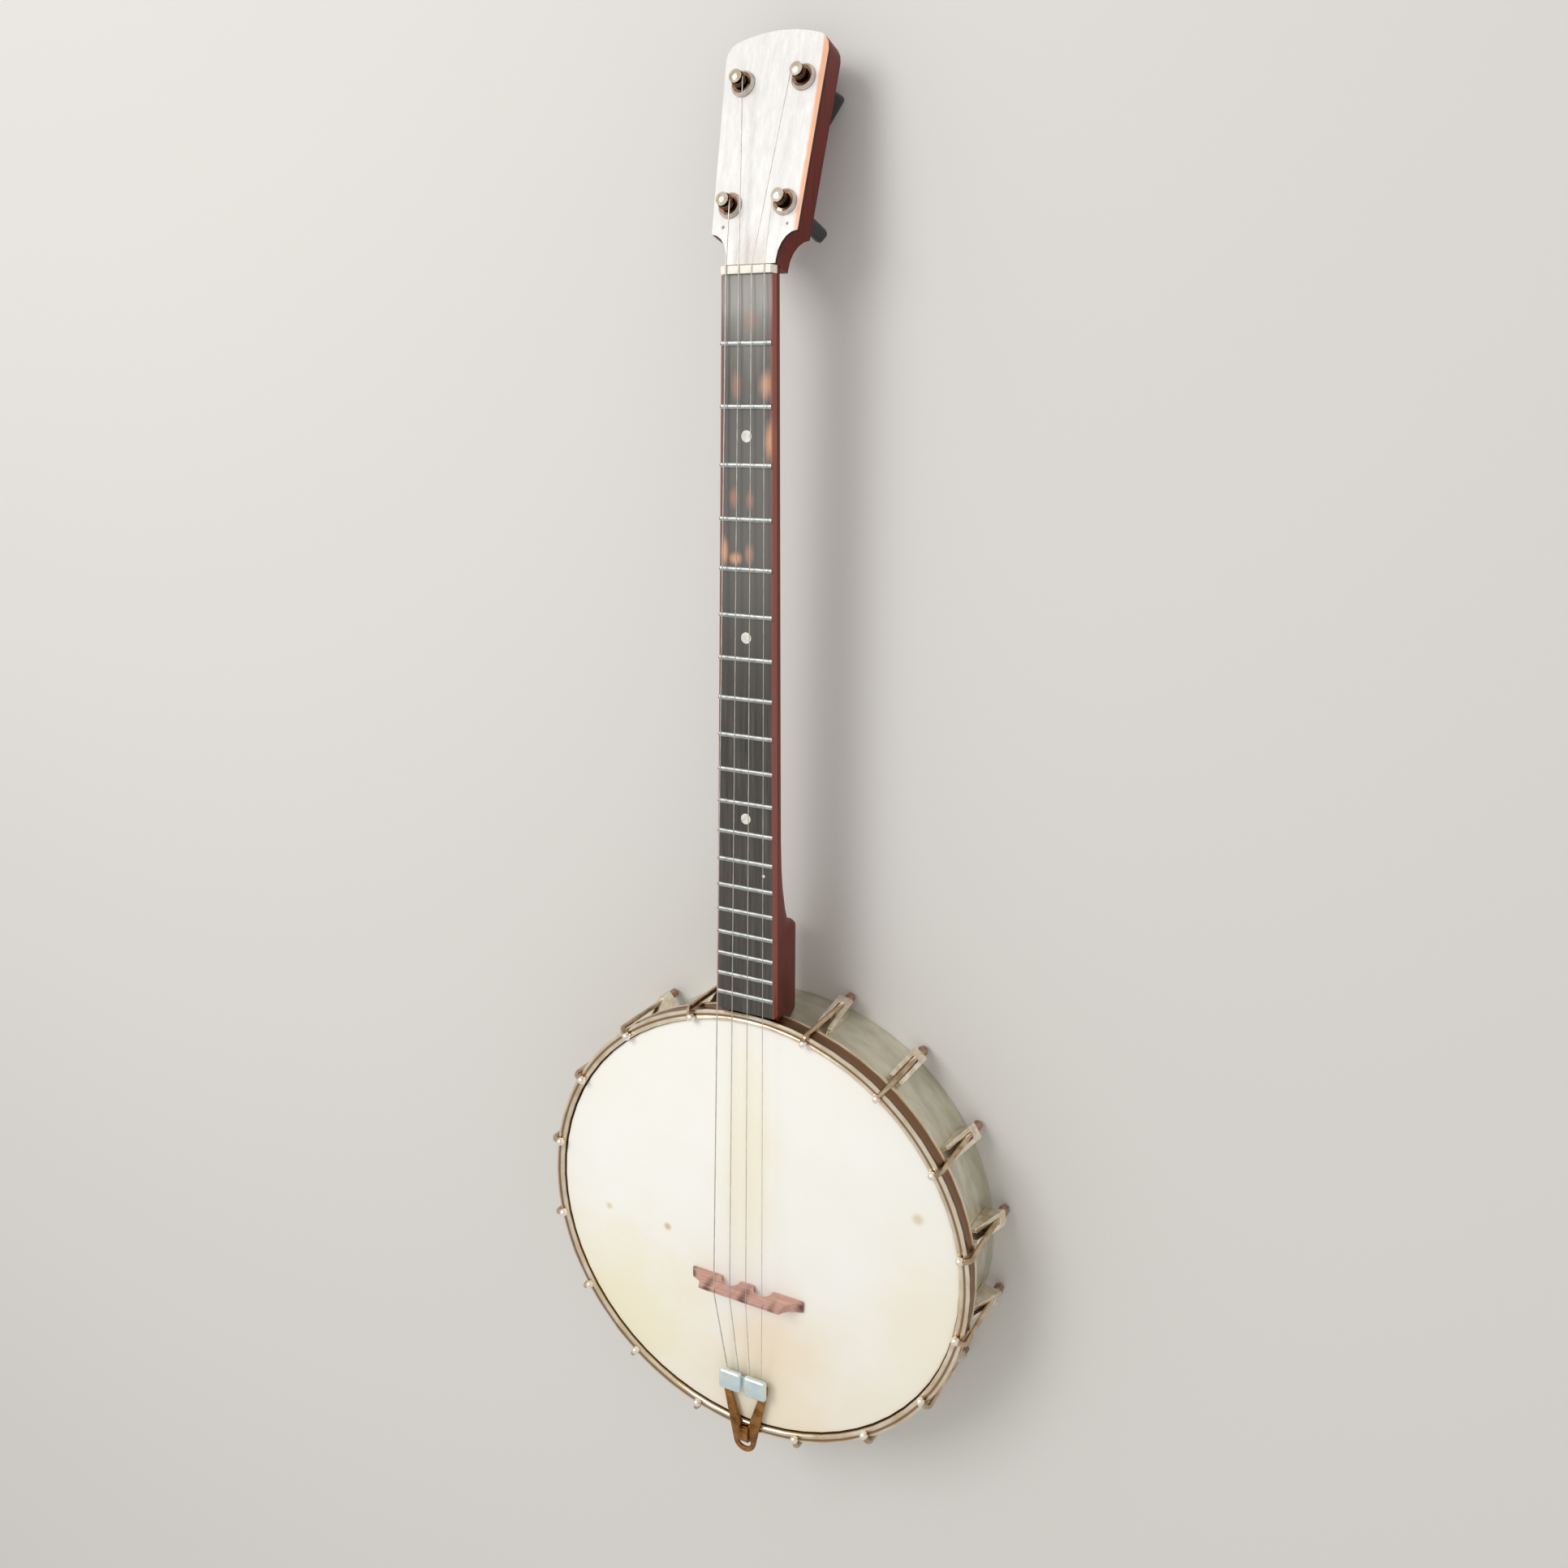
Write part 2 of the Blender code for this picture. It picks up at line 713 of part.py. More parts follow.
def build_bridge(root, wood):
    """Three-footed bridge, thick at its feet and thin at its crown."""
    base = seat_gap
    crown = base + bridge_height
    outline = [(bridge_half_foot, base), (bridge_half_foot, base + bridge_foot_tip * 0.5)]
    for index in range(1, 5):
        turn = math.radians(22.5 * index)
        drop = (bridge_half_foot - bridge_half_crown) * math.sin(turn)
        rise = (bridge_height - bridge_foot_tip) * (1.0 - math.cos(turn))
        outline.append((bridge_half_foot - drop, base + bridge_foot_tip + rise))
    outline += notched_top(bridge_half_crown - 1.0, crown, string_spread_bridge)
    left_end = [(-across, level) for across, level in reversed(outline[:6])]
    outline += left_end
    middle = (arch_near + arch_far) / 2
    half_arch = (arch_far - arch_near) / 2
    for side in (-1, 1):
        for index in range(7):
            turn = math.radians(30.0 * index)
            outline.append((side * middle - half_arch * math.cos(turn), base + arch_height * math.sin(turn)))
    mesh = extrude_outline("bridge", outline, lambda u, v: (u, -0.5, v), (0.0, 1.0, 0.0))
    for point in mesh.vertices:
        share = min(max((point.co.z / MM - base) / bridge_height, 0.0), 1.0)
        thickness = bridge_foot_thickness + (bridge_crown_thickness - bridge_foot_thickness) * share
        point.co.y = point.co.y * thickness - bridge_offset * MM
    add_object("bridge", mesh, root, wood)


# The tailpiece

def build_tailpiece(root, brass, nickel):
    """V frame with its loop, the string plate, and the hanger that holds the loop to the rim."""
    level = tail_frame_level
    half = tail_plate_half_width - 0.6
    front = tail_plate_front - 6.0
    narrow = tail_loop_radius * 0.82
    outline = [(half, front), (half, front - tail_arm_width)]
    for index in range(9):
        turn = math.radians(-10.0 - 20.0 * index)
        outline.append((tail_loop_radius * math.cos(turn), -tail_loop_offset + tail_loop_radius * math.sin(turn)))
    outline += [(-half, front - tail_arm_width), (-half, front)]
    mesh = extrude_outline("tailpiece_frame", outline, lambda u, v: (u, v, level), (0.0, 0.0, tail_frame_thickness))
    frame = add_object("tailpiece_frame", mesh, root, brass)
    inner_top = front - tail_arm_width
    gap_half = half - tail_arm_width
    gap_end = -tail_loop_offset + tail_loop_radius + 2.0
    gap_outline = [(gap_half, inner_top), (narrow * 0.3, gap_end), (-narrow * 0.3, gap_end), (-gap_half, inner_top)]
    gap_mesh = extrude_outline("frame_gap", gap_outline, lambda u, v: (u, v, level - 2.0), (0.0, 0.0, 8.0))
    gap = add_object("tailpiece_frame_gap", gap_mesh, root)
    apply_boolean(frame, gap)
    hole = add_object("tailpiece_frame_hole", rod_mesh("loop_hole", tail_loop_hole, level - 2.0, level + 6.0), root)
    hole.location = (0.0, -tail_loop_offset * MM, 0.0)
    apply_boolean(frame, hole)
    build_tail_plate(root, nickel)
    build_hanger(root, brass)


def build_tail_plate(root, nickel):
    """Folded string plate over the frame's front bar, slotted down its middle."""
    low = tail_frame_level + tail_frame_thickness + seat_gap
    high = low + tail_plate_thickness
    lip = low - tail_plate_lip
    profile = [
        (tail_plate_back, low),
        (tail_plate_back, high),
        (tail_plate_front + 1.2, high),
        (tail_plate_front, high - 1.0),
        (tail_plate_front, lip),
        (tail_plate_front - tail_plate_thickness, lip),
        (tail_plate_front - tail_plate_thickness, low),
    ]
    half = tail_plate_half_width
    mesh = extrude_outline("tailpiece_plate", profile, lambda u, v: (-half, u, v), (2 * half, 0.0, 0.0))
    plate = add_object("tailpiece_plate", mesh, root, nickel)
    slot_half = tail_plate_slot / 2
    slot_mesh = box_mesh("plate_slot", (-slot_half, tail_plate_back - 2.0, low - 2.0),
                         (slot_half, tail_plate_front - 3.0, high + 2.0))
    apply_boolean(plate, add_object("tailpiece_plate_slot", slot_mesh, root))


def ribbon_outline(points, thickness):
    """Outline of a strip of even thickness along a line of (reach, level) points."""
    line = [Vector(point) for point in points]
    sides = ([], [])
    for index, point in enumerate(line):
        before = line[max(index - 1, 0)]
        after = line[min(index + 1, len(line) - 1)]
        first = (point - before).normalized() if index else (after - point).normalized()
        second = (after - point).normalized() if index < len(line) - 1 else first
        middle = (first + second).normalized()
        normal = Vector((-middle.y, middle.x)) * (thickness / 2 / middle.dot(first))
        sides[0].append(tuple(point + normal))
        sides[1].append(tuple(point - normal))
    return sides[0] + sides[1][::-1]


def build_hanger(root, brass):
    """Hanger strap: hooked over the frame's loop and bolted to the rim at the tail."""
    half = hanger_thickness / 2
    over = tail_frame_level + tail_frame_thickness + seat_gap + half
    drop = tail_loop_offset - 0.6
    foot = skirt_inner + 0.1 + half
    line = [
        (hanger_tip, over),
        (drop - 3.0, over),
        (drop - 0.9, over - 0.9),
        (drop, over - 3.0),
        (drop, -12.0),
        (foot, -24.0),
        (foot, hanger_foot),
    ]
    outline = ribbon_outline(line, hanger_thickness)
    mesh = extrude_outline("tailpiece_hanger", outline, lambda u, v: (-hanger_width / 2, -u, v),
                           (hanger_width, 0.0, 0.0))
    hanger = add_object("tailpiece_hanger", mesh, root, brass)
    bore_mesh = rod_mesh("hanger_bore", tail_bolt_radius + bolt_clearance, 120.0, 145.0)
    bore = add_object("tailpiece_hanger_bore", bore_mesh, root)
    aim_at_tail(bore, dowel_level)
    apply_boolean(hanger, bore)


# Pegs and strings

def peg_places():
    """Places of the four posts on the peghead: lower left, upper left, upper right, lower right."""
    (low, low_across), (high, high_across) = peg_rows
    return [(-low_across, low), (-high_across, high), (high_across, high), (low_across, low)]


def peg_mesh(peghead, metal):
    """One peg: post, shaft, collar and fan-shaped button on one axis."""
    collar_top = core_back - seat_gap
    profile = [
        (0.0, post_height),
        (post_cap_radius * 0.6, post_height - 0.2),
        (post_cap_radius, post_height - 1.0),
        (post_cap_radius, post_height - 1.7),
        (post_radius, post_height - 2.2),
        (post_radius, collar_top),
        (collar_radius, collar_top),
        (collar_radius, collar_top - collar_height),
        (post_radius + 0.4, collar_top - collar_height - 0.8),
        (post_radius + 0.4, button_top - 4.0),
        (0.0, button_top - 4.0),
    ]
    shaft = add_object("peg_blank", lathe("peg_blank", profile, 14, closed=False), peghead, metal)
    builder = bmesh.new()
    bmesh.ops.create_cube(builder, size=1.0)
    for point in builder.verts:
        width = button_width_top if point.co.z > 0 else button_width_end
        point.co.x *= width
        point.co.y *= button_thickness
        point.co.z = button_top if point.co.z > 0 else button_end
    bmesh.ops.bevel(builder, geom=builder.edges[:], offset=button_edge, segments=2, profile=0.5,
                    affect="EDGES", clamp_overlap=True)
    button = add_object("peg_button", mesh_from("peg_button", builder, 40.0), peghead)
    apply_boolean(shaft, button, "UNION")
    return baked(shaft)


def build_pegs(peghead, peg_finish, metal):
    """Four pegs that turn in the peghead, each with a bush on the face."""
    bush_profile = [
        (post_radius + bolt_clearance, seat_gap),
        (bush_radius, seat_gap),
        (bush_radius, seat_gap + bush_height * 0.4),
        (bush_radius - 1.2, seat_gap + bush_height),
        (post_radius + 1.0, seat_gap + bush_height),
        (post_radius + bolt_clearance, seat_gap + bush_height * 0.7),
    ]
    bush_mesh = lathe("peg_bush", bush_profile, 20)
    mesh = peg_mesh(peghead, peg_finish)
    for number, (across, along) in enumerate(peg_places(), start=1):
        turn = peg_turns[0] if along < peg_rows[1][0] else peg_turns[1]
        if across < 0:
            turn = -turn
        for name, data, material in (("peg", mesh, peg_finish), ("peg_bush", bush_mesh, metal)):
            item = add_object(f"{name}_{number}", data, peghead, material)
            item.location = Vector((across, along, 0.0)) * MM
        bpy.data.objects[f"peg_{number}"].rotation_euler = (0.0, 0.0, math.radians(turn))


def string_route(index):
    """Points of one string, from the tailpiece to the last turn on its post."""
    radius = string_radii[index]
    lane_bridge = string_lane(index, string_spread_bridge)
    lane_nut = string_lane(index, string_spread_nut)
    crown = seat_gap + bridge_height - radius + seat_gap + radius
    nut_level = board_top + nut_height + seat_gap
    points = [
        Vector((string_lane(index, string_spread_tail), tail_plate_front + seat_gap, tail_frame_level + 2.2)),
        Vector((lane_bridge, -bridge_offset, crown)),
        Vector((lane_nut, nut_line + seat_gap, nut_level)),
        Vector((lane_nut, nut_line + seat_gap + nut_thickness, nut_level - 0.1)),
    ]
    across, along = peg_places()[index]
    inward = 1.0 if across < 0 else -1.0
    reach = post_radius + seat_gap + radius
    pitch = 2 * radius + coil_self_gap
    start_height = post_height - 2.2 - seat_gap - radius
    coil = []
    for step in range(coil_turns * coil_points + 1):
        turn = math.tau * step / coil_points
        coil.append(peghead_point(
            across + inward * reach * math.cos(turn),
            along + reach * math.sin(turn),
            start_height - pitch * turn / math.tau))
    print_coil_gap(index + 1, coil, radius)
    return points + coil


def print_coil_gap(number, coil, radius):
    """Measure and print a coil's least gap to itself."""
    apart = coil_points // 2
    least = min((coil[a] - coil[b]).length
                for a in range(len(coil)) for b in range(a + apart, len(coil)))
    print(f"string {number}: least gap of its coil to itself {least - 2 * radius:.2f} mm")


def build_strings(root, steel):
    """Four strings from the tailpiece over bridge and nut, wound on their posts."""
    for index, radius in enumerate(string_radii):
        name = f"string_{index + 1}"
        add_object(name, tube(name, string_route(index), radius), root, steel)


def main():
    """Build every part of the banjo."""
    clear_scene()
    maple = finish("maple", (0.55, 0.36, 0.17), 0.45, 0.0)
    nickel = finish("nickel_cladding", (0.42, 0.41, 0.33), 0.38, 1.0)
    brass = finish("hoop_brass", (0.47, 0.33, 0.2), 0.35, 1.0)
    bright_nickel = finish("bright_nickel", (0.7, 0.68, 0.62), 0.25, 1.0)
    vellum = finish("vellum", (0.9, 0.87, 0.74), 0.6, 0.0)
    steel = finish("string_steel", (0.6, 0.58, 0.52), 0.3, 1.0)
    mahogany = finish("mahogany", (0.12, 0.02, 0.012), 0.3, 0.0)
    face_wood = finish("face_veneer", (0.8, 0.76, 0.7), 0.25, 0.0)
    ebony = finish("ebony", (0.06, 0.055, 0.05), 0.45, 0.0)
    bone = finish("bone", (0.85, 0.82, 0.68), 0.4, 0.0)
    bridge_wood = finish("bridge_maple", (0.5, 0.22, 0.14), 0.5, 0.0)
    peg_finish = finish("peg_black", (0.02, 0.02, 0.02), 0.35, 0.0)

    root = add_empty("banjo", None, (0.0, -centre_line, rim_depth))
    peghead = add_empty("peghead_frame", root, peghead_origin, -peghead_angle)
    build_rim(root, maple, nickel)
    build_head(root, vellum, steel, brass)
    build_dowel(root, maple, bright_nickel)
    build_brackets(root, bright_nickel, bright_nickel)
    build_neck(root, peghead, mahogany, face_wood)
    build_fingerboard(root, ebony)
    build_nut(root, bone)
    build_bridge(root, bridge_wood)
    build_tailpiece(root, brass, bright_nickel)
    build_pegs(peghead, peg_finish, bright_nickel)
    build_strings(root, steel)
    bpy.context.view_layer.update()


main()
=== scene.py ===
"""Looks of an old open-backed tenor banjo, built round its fixed model.

Sizes are in millimetres unless a name says otherwise, and the banjo lies on its back with +Y up the neck.
"""
import json
import logging
import math
from dataclasses import dataclass
from enum import Enum

import bmesh
import bpy
from mathutils import Matrix, Vector


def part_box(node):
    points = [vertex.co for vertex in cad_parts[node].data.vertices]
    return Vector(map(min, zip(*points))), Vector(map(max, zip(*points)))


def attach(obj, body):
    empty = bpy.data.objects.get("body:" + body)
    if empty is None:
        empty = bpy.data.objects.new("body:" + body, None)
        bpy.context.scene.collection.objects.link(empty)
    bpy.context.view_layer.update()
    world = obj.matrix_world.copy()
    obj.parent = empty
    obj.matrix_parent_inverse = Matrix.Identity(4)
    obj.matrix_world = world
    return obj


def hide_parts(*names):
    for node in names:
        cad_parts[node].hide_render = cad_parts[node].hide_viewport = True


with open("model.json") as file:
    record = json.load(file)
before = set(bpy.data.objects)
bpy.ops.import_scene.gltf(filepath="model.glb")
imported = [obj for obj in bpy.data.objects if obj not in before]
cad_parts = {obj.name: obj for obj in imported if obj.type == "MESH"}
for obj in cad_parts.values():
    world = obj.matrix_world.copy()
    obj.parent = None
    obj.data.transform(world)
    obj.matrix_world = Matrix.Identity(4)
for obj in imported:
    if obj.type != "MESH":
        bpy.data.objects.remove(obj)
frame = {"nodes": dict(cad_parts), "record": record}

log = logging.getLogger("banjo")

MM = 0.001

# Body that carries everything but the pegs
FIXED_BODY = "root"

# Vertices of a copied piece closer than this, in metres, are one
MERGE_DISTANCE = 1e-6

# Faces of a copied piece that differ by less, in degrees, are one flat face
FLAT_ANGLE = 0.4

# Facets across an eased edge
EASED_SEGMENTS = 2

# Edges of a new piece shorter than this across, in metres, stand upright
UPRIGHT_REACH = 1e-7

# Sockets of the colour mix node
MIX_FACTOR = 0
MIX_FIRST = 6
MIX_SECOND = 7
MIX_RESULT = 2


def linear(code: str, alpha: float = 1.0) -> tuple[float, float, float, float]:
    """Turn an sRGB hex colour to linear.

    Args:
        code: Six hex digits, with or without a leading #.
        alpha: Opacity to add.

    Returns:
        Linear red, green, blue and alpha.
    """
    parts = [int(code.lstrip("#")[i:i + 2], 16) / 255.0 for i in (0, 2, 4)]
    values = [c / 12.92 if c <= 0.04045 else ((c + 0.055) / 1.055) ** 2.4 for c in parts]
    return (*values, alpha)


def add_node(
    tree: bpy.types.NodeTree,
    kind: str,
    settings: dict | None = None,
    inputs: dict | None = None,
) -> bpy.types.Node:
    """Add a node with its settings, values and links.

    Args:
        tree: Node tree to add to.
        kind: Node type.
        settings: Properties of the node.
        inputs: Input values by name or index. A socket is linked, and anything else is set.

    Returns:
        The new node.
    """
    node = tree.nodes.new(kind)
    for name, value in (settings or {}).items():
        setattr(node, name, value)
    for key, value in (inputs or {}).items():
        if isinstance(value, bpy.types.NodeSocket):
            tree.links.new(value, node.inputs[key])
        else:
            node.inputs[key].default_value = value
    return node


@dataclass(frozen=True)
class HeadPlace:
    """Where the head and neck lie, read from the frame, in metres."""

    centre: Vector
    board_top: float
    nut_line: float

    @classmethod
    def read(cls) -> "HeadPlace":
        """Read the places from the vellum and the fingerboard.

        Returns:
            The places.
        """
        low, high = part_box("vellum_head")
        board_low, board_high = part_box("fingerboard")
        centre = Vector(((low.x + high.x) / 2, (low.y + high.y) / 2, high.z))
        return cls(centre, board_high.z - Fretwork.fret_height * MM, board_high.y)

    def point(self, x: float, y: float, z: float = 0.0) -> Vector:
        """A point given in millimetres from the head's centre."""
        return self.centre + Vector((x, y, z)) * MM


@dataclass(frozen=True)
class Finish:
    """A grained or cloudy surface: two colours blended by noise, with its gloss and relief."""

    name: str
    dark: str
    light: str
    roughness: float
    metallic: float = 0.0
    coat: float = 0.0
    grain: tuple[float, float, float] = (8.0, 8.0, 8.0)
    contrast: float = 0.25
    relief: float = 0.02
    roughness_spread: float = 0.12
    roughness_least: float = 0.02
    noise_detail: float = 6.0
    noise_roughness: float = 0.6
    noise_range: tuple[float, float] = (0.3, 0.7)
    coat_roughness: float = 0.12
    ior: float = 1.5

    def colour(self, tree: bpy.types.NodeTree, place: bpy.types.NodeSocket,
               cloud: bpy.types.NodeSocket) -> bpy.types.NodeSocket:
        """Blend the two colours.

        Args:
            tree: Node tree of the material.
            place: Object coordinates.
            cloud: Noise from 0 to 1.

        Returns:
            The colour socket.
        """
        mix = add_node(tree, "ShaderNodeMix", {"data_type": "RGBA"}, {
            MIX_FACTOR: cloud,
            MIX_FIRST: linear(self.dark),
            MIX_SECOND: linear(self.light),
        })
        return mix.outputs[MIX_RESULT]

    def material(self) -> bpy.types.Material:
        """Build the material.

        Returns:
            A Principled material with noise in its colour, gloss and relief.
        """
        material = bpy.data.materials.new(self.name)
        material.use_nodes = True
        tree = material.node_tree
        shader = tree.nodes["Principled BSDF"]
        place = add_node(tree, "ShaderNodeTexCoord").outputs["Object"]
        scaled = add_node(tree, "ShaderNodeMapping", {}, {
            "Vector": place,
            "Scale": [1.0 / (MM * size) for size in self.grain],
        }).outputs["Vector"]
        noise = add_node(tree, "ShaderNodeTexNoise", {}, {
            "Vector": scaled, "Scale": 1.0, "Detail": self.noise_detail, "Roughness": self.noise_roughness,
        }).outputs["Fac"]
        cloud = add_node(tree, "ShaderNodeMapRange", {}, {
            "Value": noise,
            "From Min": 0.5 - self.contrast / 2,
            "From Max": 0.5 + self.contrast / 2,
        }).outputs["Result"]
        gloss = add_node(tree, "ShaderNodeMapRange", {}, {
            "Value": noise,
            "From Min": self.noise_range[0],
            "From Max": self.noise_range[1],
            "To Min": max(self.roughness - self.roughness_spread / 2, self.roughness_least),
            "To Max": self.roughness + self.roughness_spread / 2,
        }).outputs["Result"]
        bump = add_node(tree, "ShaderNodeBump", {}, {
            "Height": noise, "Distance": self.relief * MM, "Strength": 1.0,
        }).outputs["Normal"]
        tree.links.new(self.colour(tree, place, cloud), shader.inputs["Base Color"])
        tree.links.new(gloss, shader.inputs["Roughness"])
        tree.links.new(bump, shader.inputs["Normal"])
        shader.inputs["Metallic"].default_value = self.metallic
        shader.inputs["Coat Weight"].default_value = self.coat
        shader.inputs["Coat Roughness"].default_value = self.coat_roughness
        if self.metallic == 0.0:
            shader.inputs["IOR"].default_value = self.ior
        return material


@dataclass(frozen=True)
class Spot:
    """A soft round patch of another colour, in millimetres from the head's centre."""

    x: float
    y: float
    radius: float
    colour: str
    strength: float
    stretch: float = 1.0


@dataclass(frozen=True)
class SpottedFinish(Finish):
    """A finish with soft patches laid over it, such as stains or worn places."""

    origin: Vector = Vector((0.0, 0.0, 0.0))
    spots: tuple[Spot, ...] = ()
    spot_unevenness: float = 0.35
    spot_fade: tuple[float, float] = (0.3, 1.15)

    def colour(self, tree: bpy.types.NodeTree, place: bpy.types.NodeSocket,
               cloud: bpy.types.NodeSocket) -> bpy.types.NodeSocket:
        """Blend the colours, then lay each patch over them, with an uneven edge.

        Args:
            tree: Node tree of the material.
            place: Object coordinates.
            cloud: Noise from 0 to 1.

        Returns:
            The colour socket.
        """
        result = super().colour(tree, place, cloud)
        for spot in self.spots:
            result = self.lay(tree, place, cloud, spot, result)
        return result

    def lay(self, tree: bpy.types.NodeTree, place: bpy.types.NodeSocket, cloud: bpy.types.NodeSocket,
            spot: Spot, below: bpy.types.NodeSocket) -> bpy.types.NodeSocket:
        """Lay one patch over a colour.

        Args:
            tree: Node tree of the material.
            place: Object coordinates.
            cloud: Noise from 0 to 1.
            spot: The patch.
            below: Colour under the patch.

        Returns:
            The colour with the patch.
        """
        centre = self.origin + Vector((spot.x, spot.y, 0.0)) * MM
        across = 1.0 / (spot.radius * MM)
        local = add_node(tree, "ShaderNodeMapping", {}, {
            "Vector": place,
            "Location": (-centre.x * across, -centre.y * across / spot.stretch, 0.0),
            "Scale": (across, across / spot.stretch, 0.0),
        }).outputs["Vector"]
        reach = add_node(tree, "ShaderNodeVectorMath", {"operation": "LENGTH"}, {0: local}).outputs["Value"]
        ragged = add_node(tree, "ShaderNodeMath", {"operation": "MULTIPLY_ADD"}, {
            0: cloud, 1: self.spot_unevenness, 2: reach,
        }).outputs["Value"]
        share = add_node(tree, "ShaderNodeMapRange", {"interpolation_type": "SMOOTHSTEP"}, {
            "Value": ragged,
            "From Min": self.spot_fade[0],
            "From Max": self.spot_fade[1],
            "To Min": spot.strength,
            "To Max": 0.0,
        }).outputs["Result"]
        mix = add_node(tree, "ShaderNodeMix", {"data_type": "RGBA"}, {
            MIX_FACTOR: share, MIX_FIRST: below, MIX_SECOND: linear(spot.colour),
        })
        return mix.outputs[MIX_RESULT]


@dataclass(frozen=True)
class EdgeWornFinish(SpottedFinish):
    """A spotted finish rubbed through along one or both long edges of a tapered piece.

    The two lines across the piece and its half widths there are in metres.
    """

    near_line: float = 0.0
    far_line: float = 1.0
    near_half: float = 0.018
    far_half: float = 0.01435
    edge_colour: str = "#94422E"
    both_edges: bool = True
    worn_reach: tuple[float, float] = (0.4, 2.2)
    worn_unevenness: float = 0.9
    worn_share: float = 0.9

    def colour(self, tree: bpy.types.NodeTree, place: bpy.types.NodeSocket,
               cloud: bpy.types.NodeSocket) -> bpy.types.NodeSocket:
        """Blend the colours and patches, then the rubbed edges.

        Args:
            tree: Node tree of the material.
            place: Object coordinates.
            cloud: Noise from 0 to 1.

        Returns:
            The colour socket.
        """
        fold = "ABSOLUTE" if self.both_edges else "MAXIMUM"
        below = super().colour(tree, place, cloud)
        parts = add_node(tree, "ShaderNodeSeparateXYZ", {}, {"Vector": place}).outputs
        half = add_node(tree, "ShaderNodeMapRange", {}, {
            "Value": parts["Y"], "From Min": self.near_line, "From Max": self.far_line,
            "To Min": self.near_half, "To Max": self.far_half,
        }).outputs["Result"]
        across = add_node(tree, "ShaderNodeMath", {"operation": fold}, {
            0: parts["X"], 1: 0.0,
        }).outputs["Value"]
        inset = add_node(tree, "ShaderNodeMath", {"operation": "SUBTRACT"}, {
            0: half, 1: across,
        }).outputs["Value"]
        ragged = add_node(tree, "ShaderNodeMath", {"operation": "MULTIPLY_ADD"}, {
            0: cloud, 1: self.worn_unevenness * MM, 2: inset,
        }).outputs["Value"]
        share = add_node(tree, "ShaderNodeMapRange", {"interpolation_type": "SMOOTHSTEP"}, {
            "Value": ragged,
            "From Min": self.worn_reach[0] * MM,
            "From Max": self.worn_reach[1] * MM,
            "To Min": self.worn_share,
            "To Max": 0.0,
        }).outputs["Result"]
        mix = add_node(tree, "ShaderNodeMix", {"data_type": "RGBA"}, {
            MIX_FACTOR: share, MIX_FIRST: below, MIX_SECOND: linear(self.edge_colour),
        })
        return mix.outputs[MIX_RESULT]


@dataclass(frozen=True)
class HoopFinish(Finish):
    """Nickel plate on the hoop, bright on its beads and lip, with painted shade in its groove and on its
    wall.
    """

    top: Vector = Vector((0.0, 0.0, 0.0))
    # The groove and the wall between beads and lip are darkened brown as painted shade
    groove_radius: float = 137.6
    groove_reach: tuple[float, float] = (0.45, 1.1)
    painted_wall_shade: str = "#86644A"
    wall_shade_depth: tuple[float, float] = (1.0, 2.6)
    lip_depth: tuple[float, float] = (10.6, 11.6)
    groove_shade_share: float = 0.85

    def colour(self, tree: bpy.types.NodeTree, place: bpy.types.NodeSocket,
               cloud: bpy.types.NodeSocket) -> bpy.types.NodeSocket:
        """Blend the colours, then paint shade into the groove, and onto the wall between beads and lip.

        Args:
            tree: Node tree of the material.
            place: Object coordinates.
            cloud: Noise from 0 to 1.

        Returns:
            The colour socket.
        """
        bright = super().colour(tree, place, cloud)
        height = add_node(tree, "ShaderNodeSeparateXYZ", {}, {"Vector": place}).outputs["Z"]
        # Painted shade on the wall, below the beads and above the lip
        below_top = add_node(tree, "ShaderNodeMapRange", {}, {
            "Value": height,
            "From Min": self.top.z - self.wall_shade_depth[1] * MM,
            "From Max": self.top.z - self.wall_shade_depth[0] * MM,
            "To Min": 1.0,
            "To Max": 0.0,
        }).outputs["Result"]
        above_lip = add_node(tree, "ShaderNodeMapRange", {}, {
            "Value": height,
            "From Min": self.top.z - self.lip_depth[1] * MM,
            "From Max": self.top.z - self.lip_depth[0] * MM,
        }).outputs["Result"]
        wall = add_node(tree, "ShaderNodeMath", {"operation": "MULTIPLY"}, {
            0: below_top, 1: above_lip,
        }).outputs["Value"]
        # Painted shade in the groove between the beads
        flat = add_node(tree, "ShaderNodeMapping", {}, {
            "Vector": place, "Location": (-self.top.x, -self.top.y, 0.0), "Scale": (1.0, 1.0, 0.0),
        }).outputs["Vector"]
        radius = add_node(tree, "ShaderNodeVectorMath", {"operation": "LENGTH"}, {0: flat}).outputs["Value"]
        offset = add_node(tree, "ShaderNodeMath", {"operation": "SUBTRACT"}, {
            0: radius, 1: self.groove_radius * MM,
        }).outputs["Value"]
        away = add_node(tree, "ShaderNodeMath", {"operation": "ABSOLUTE"}, {0: offset}).outputs["Value"]
        groove = add_node(tree, "ShaderNodeMapRange", {}, {
            "Value": away,
            "From Min": self.groove_reach[0] * MM,
            "From Max": self.groove_reach[1] * MM,
            "To Min": self.groove_shade_share,
            "To Max": 0.0,
        }).outputs["Result"]
        share = add_node(tree, "ShaderNodeMath", {"operation": "MAXIMUM"}, {
            0: wall, 1: groove,
        }).outputs["Value"]
        mix = add_node(tree, "ShaderNodeMix", {"data_type": "RGBA"}, {
            MIX_FACTOR: share, MIX_FIRST: bright, MIX_SECOND: linear(self.painted_wall_shade),
        })
        return mix.outputs[MIX_RESULT]


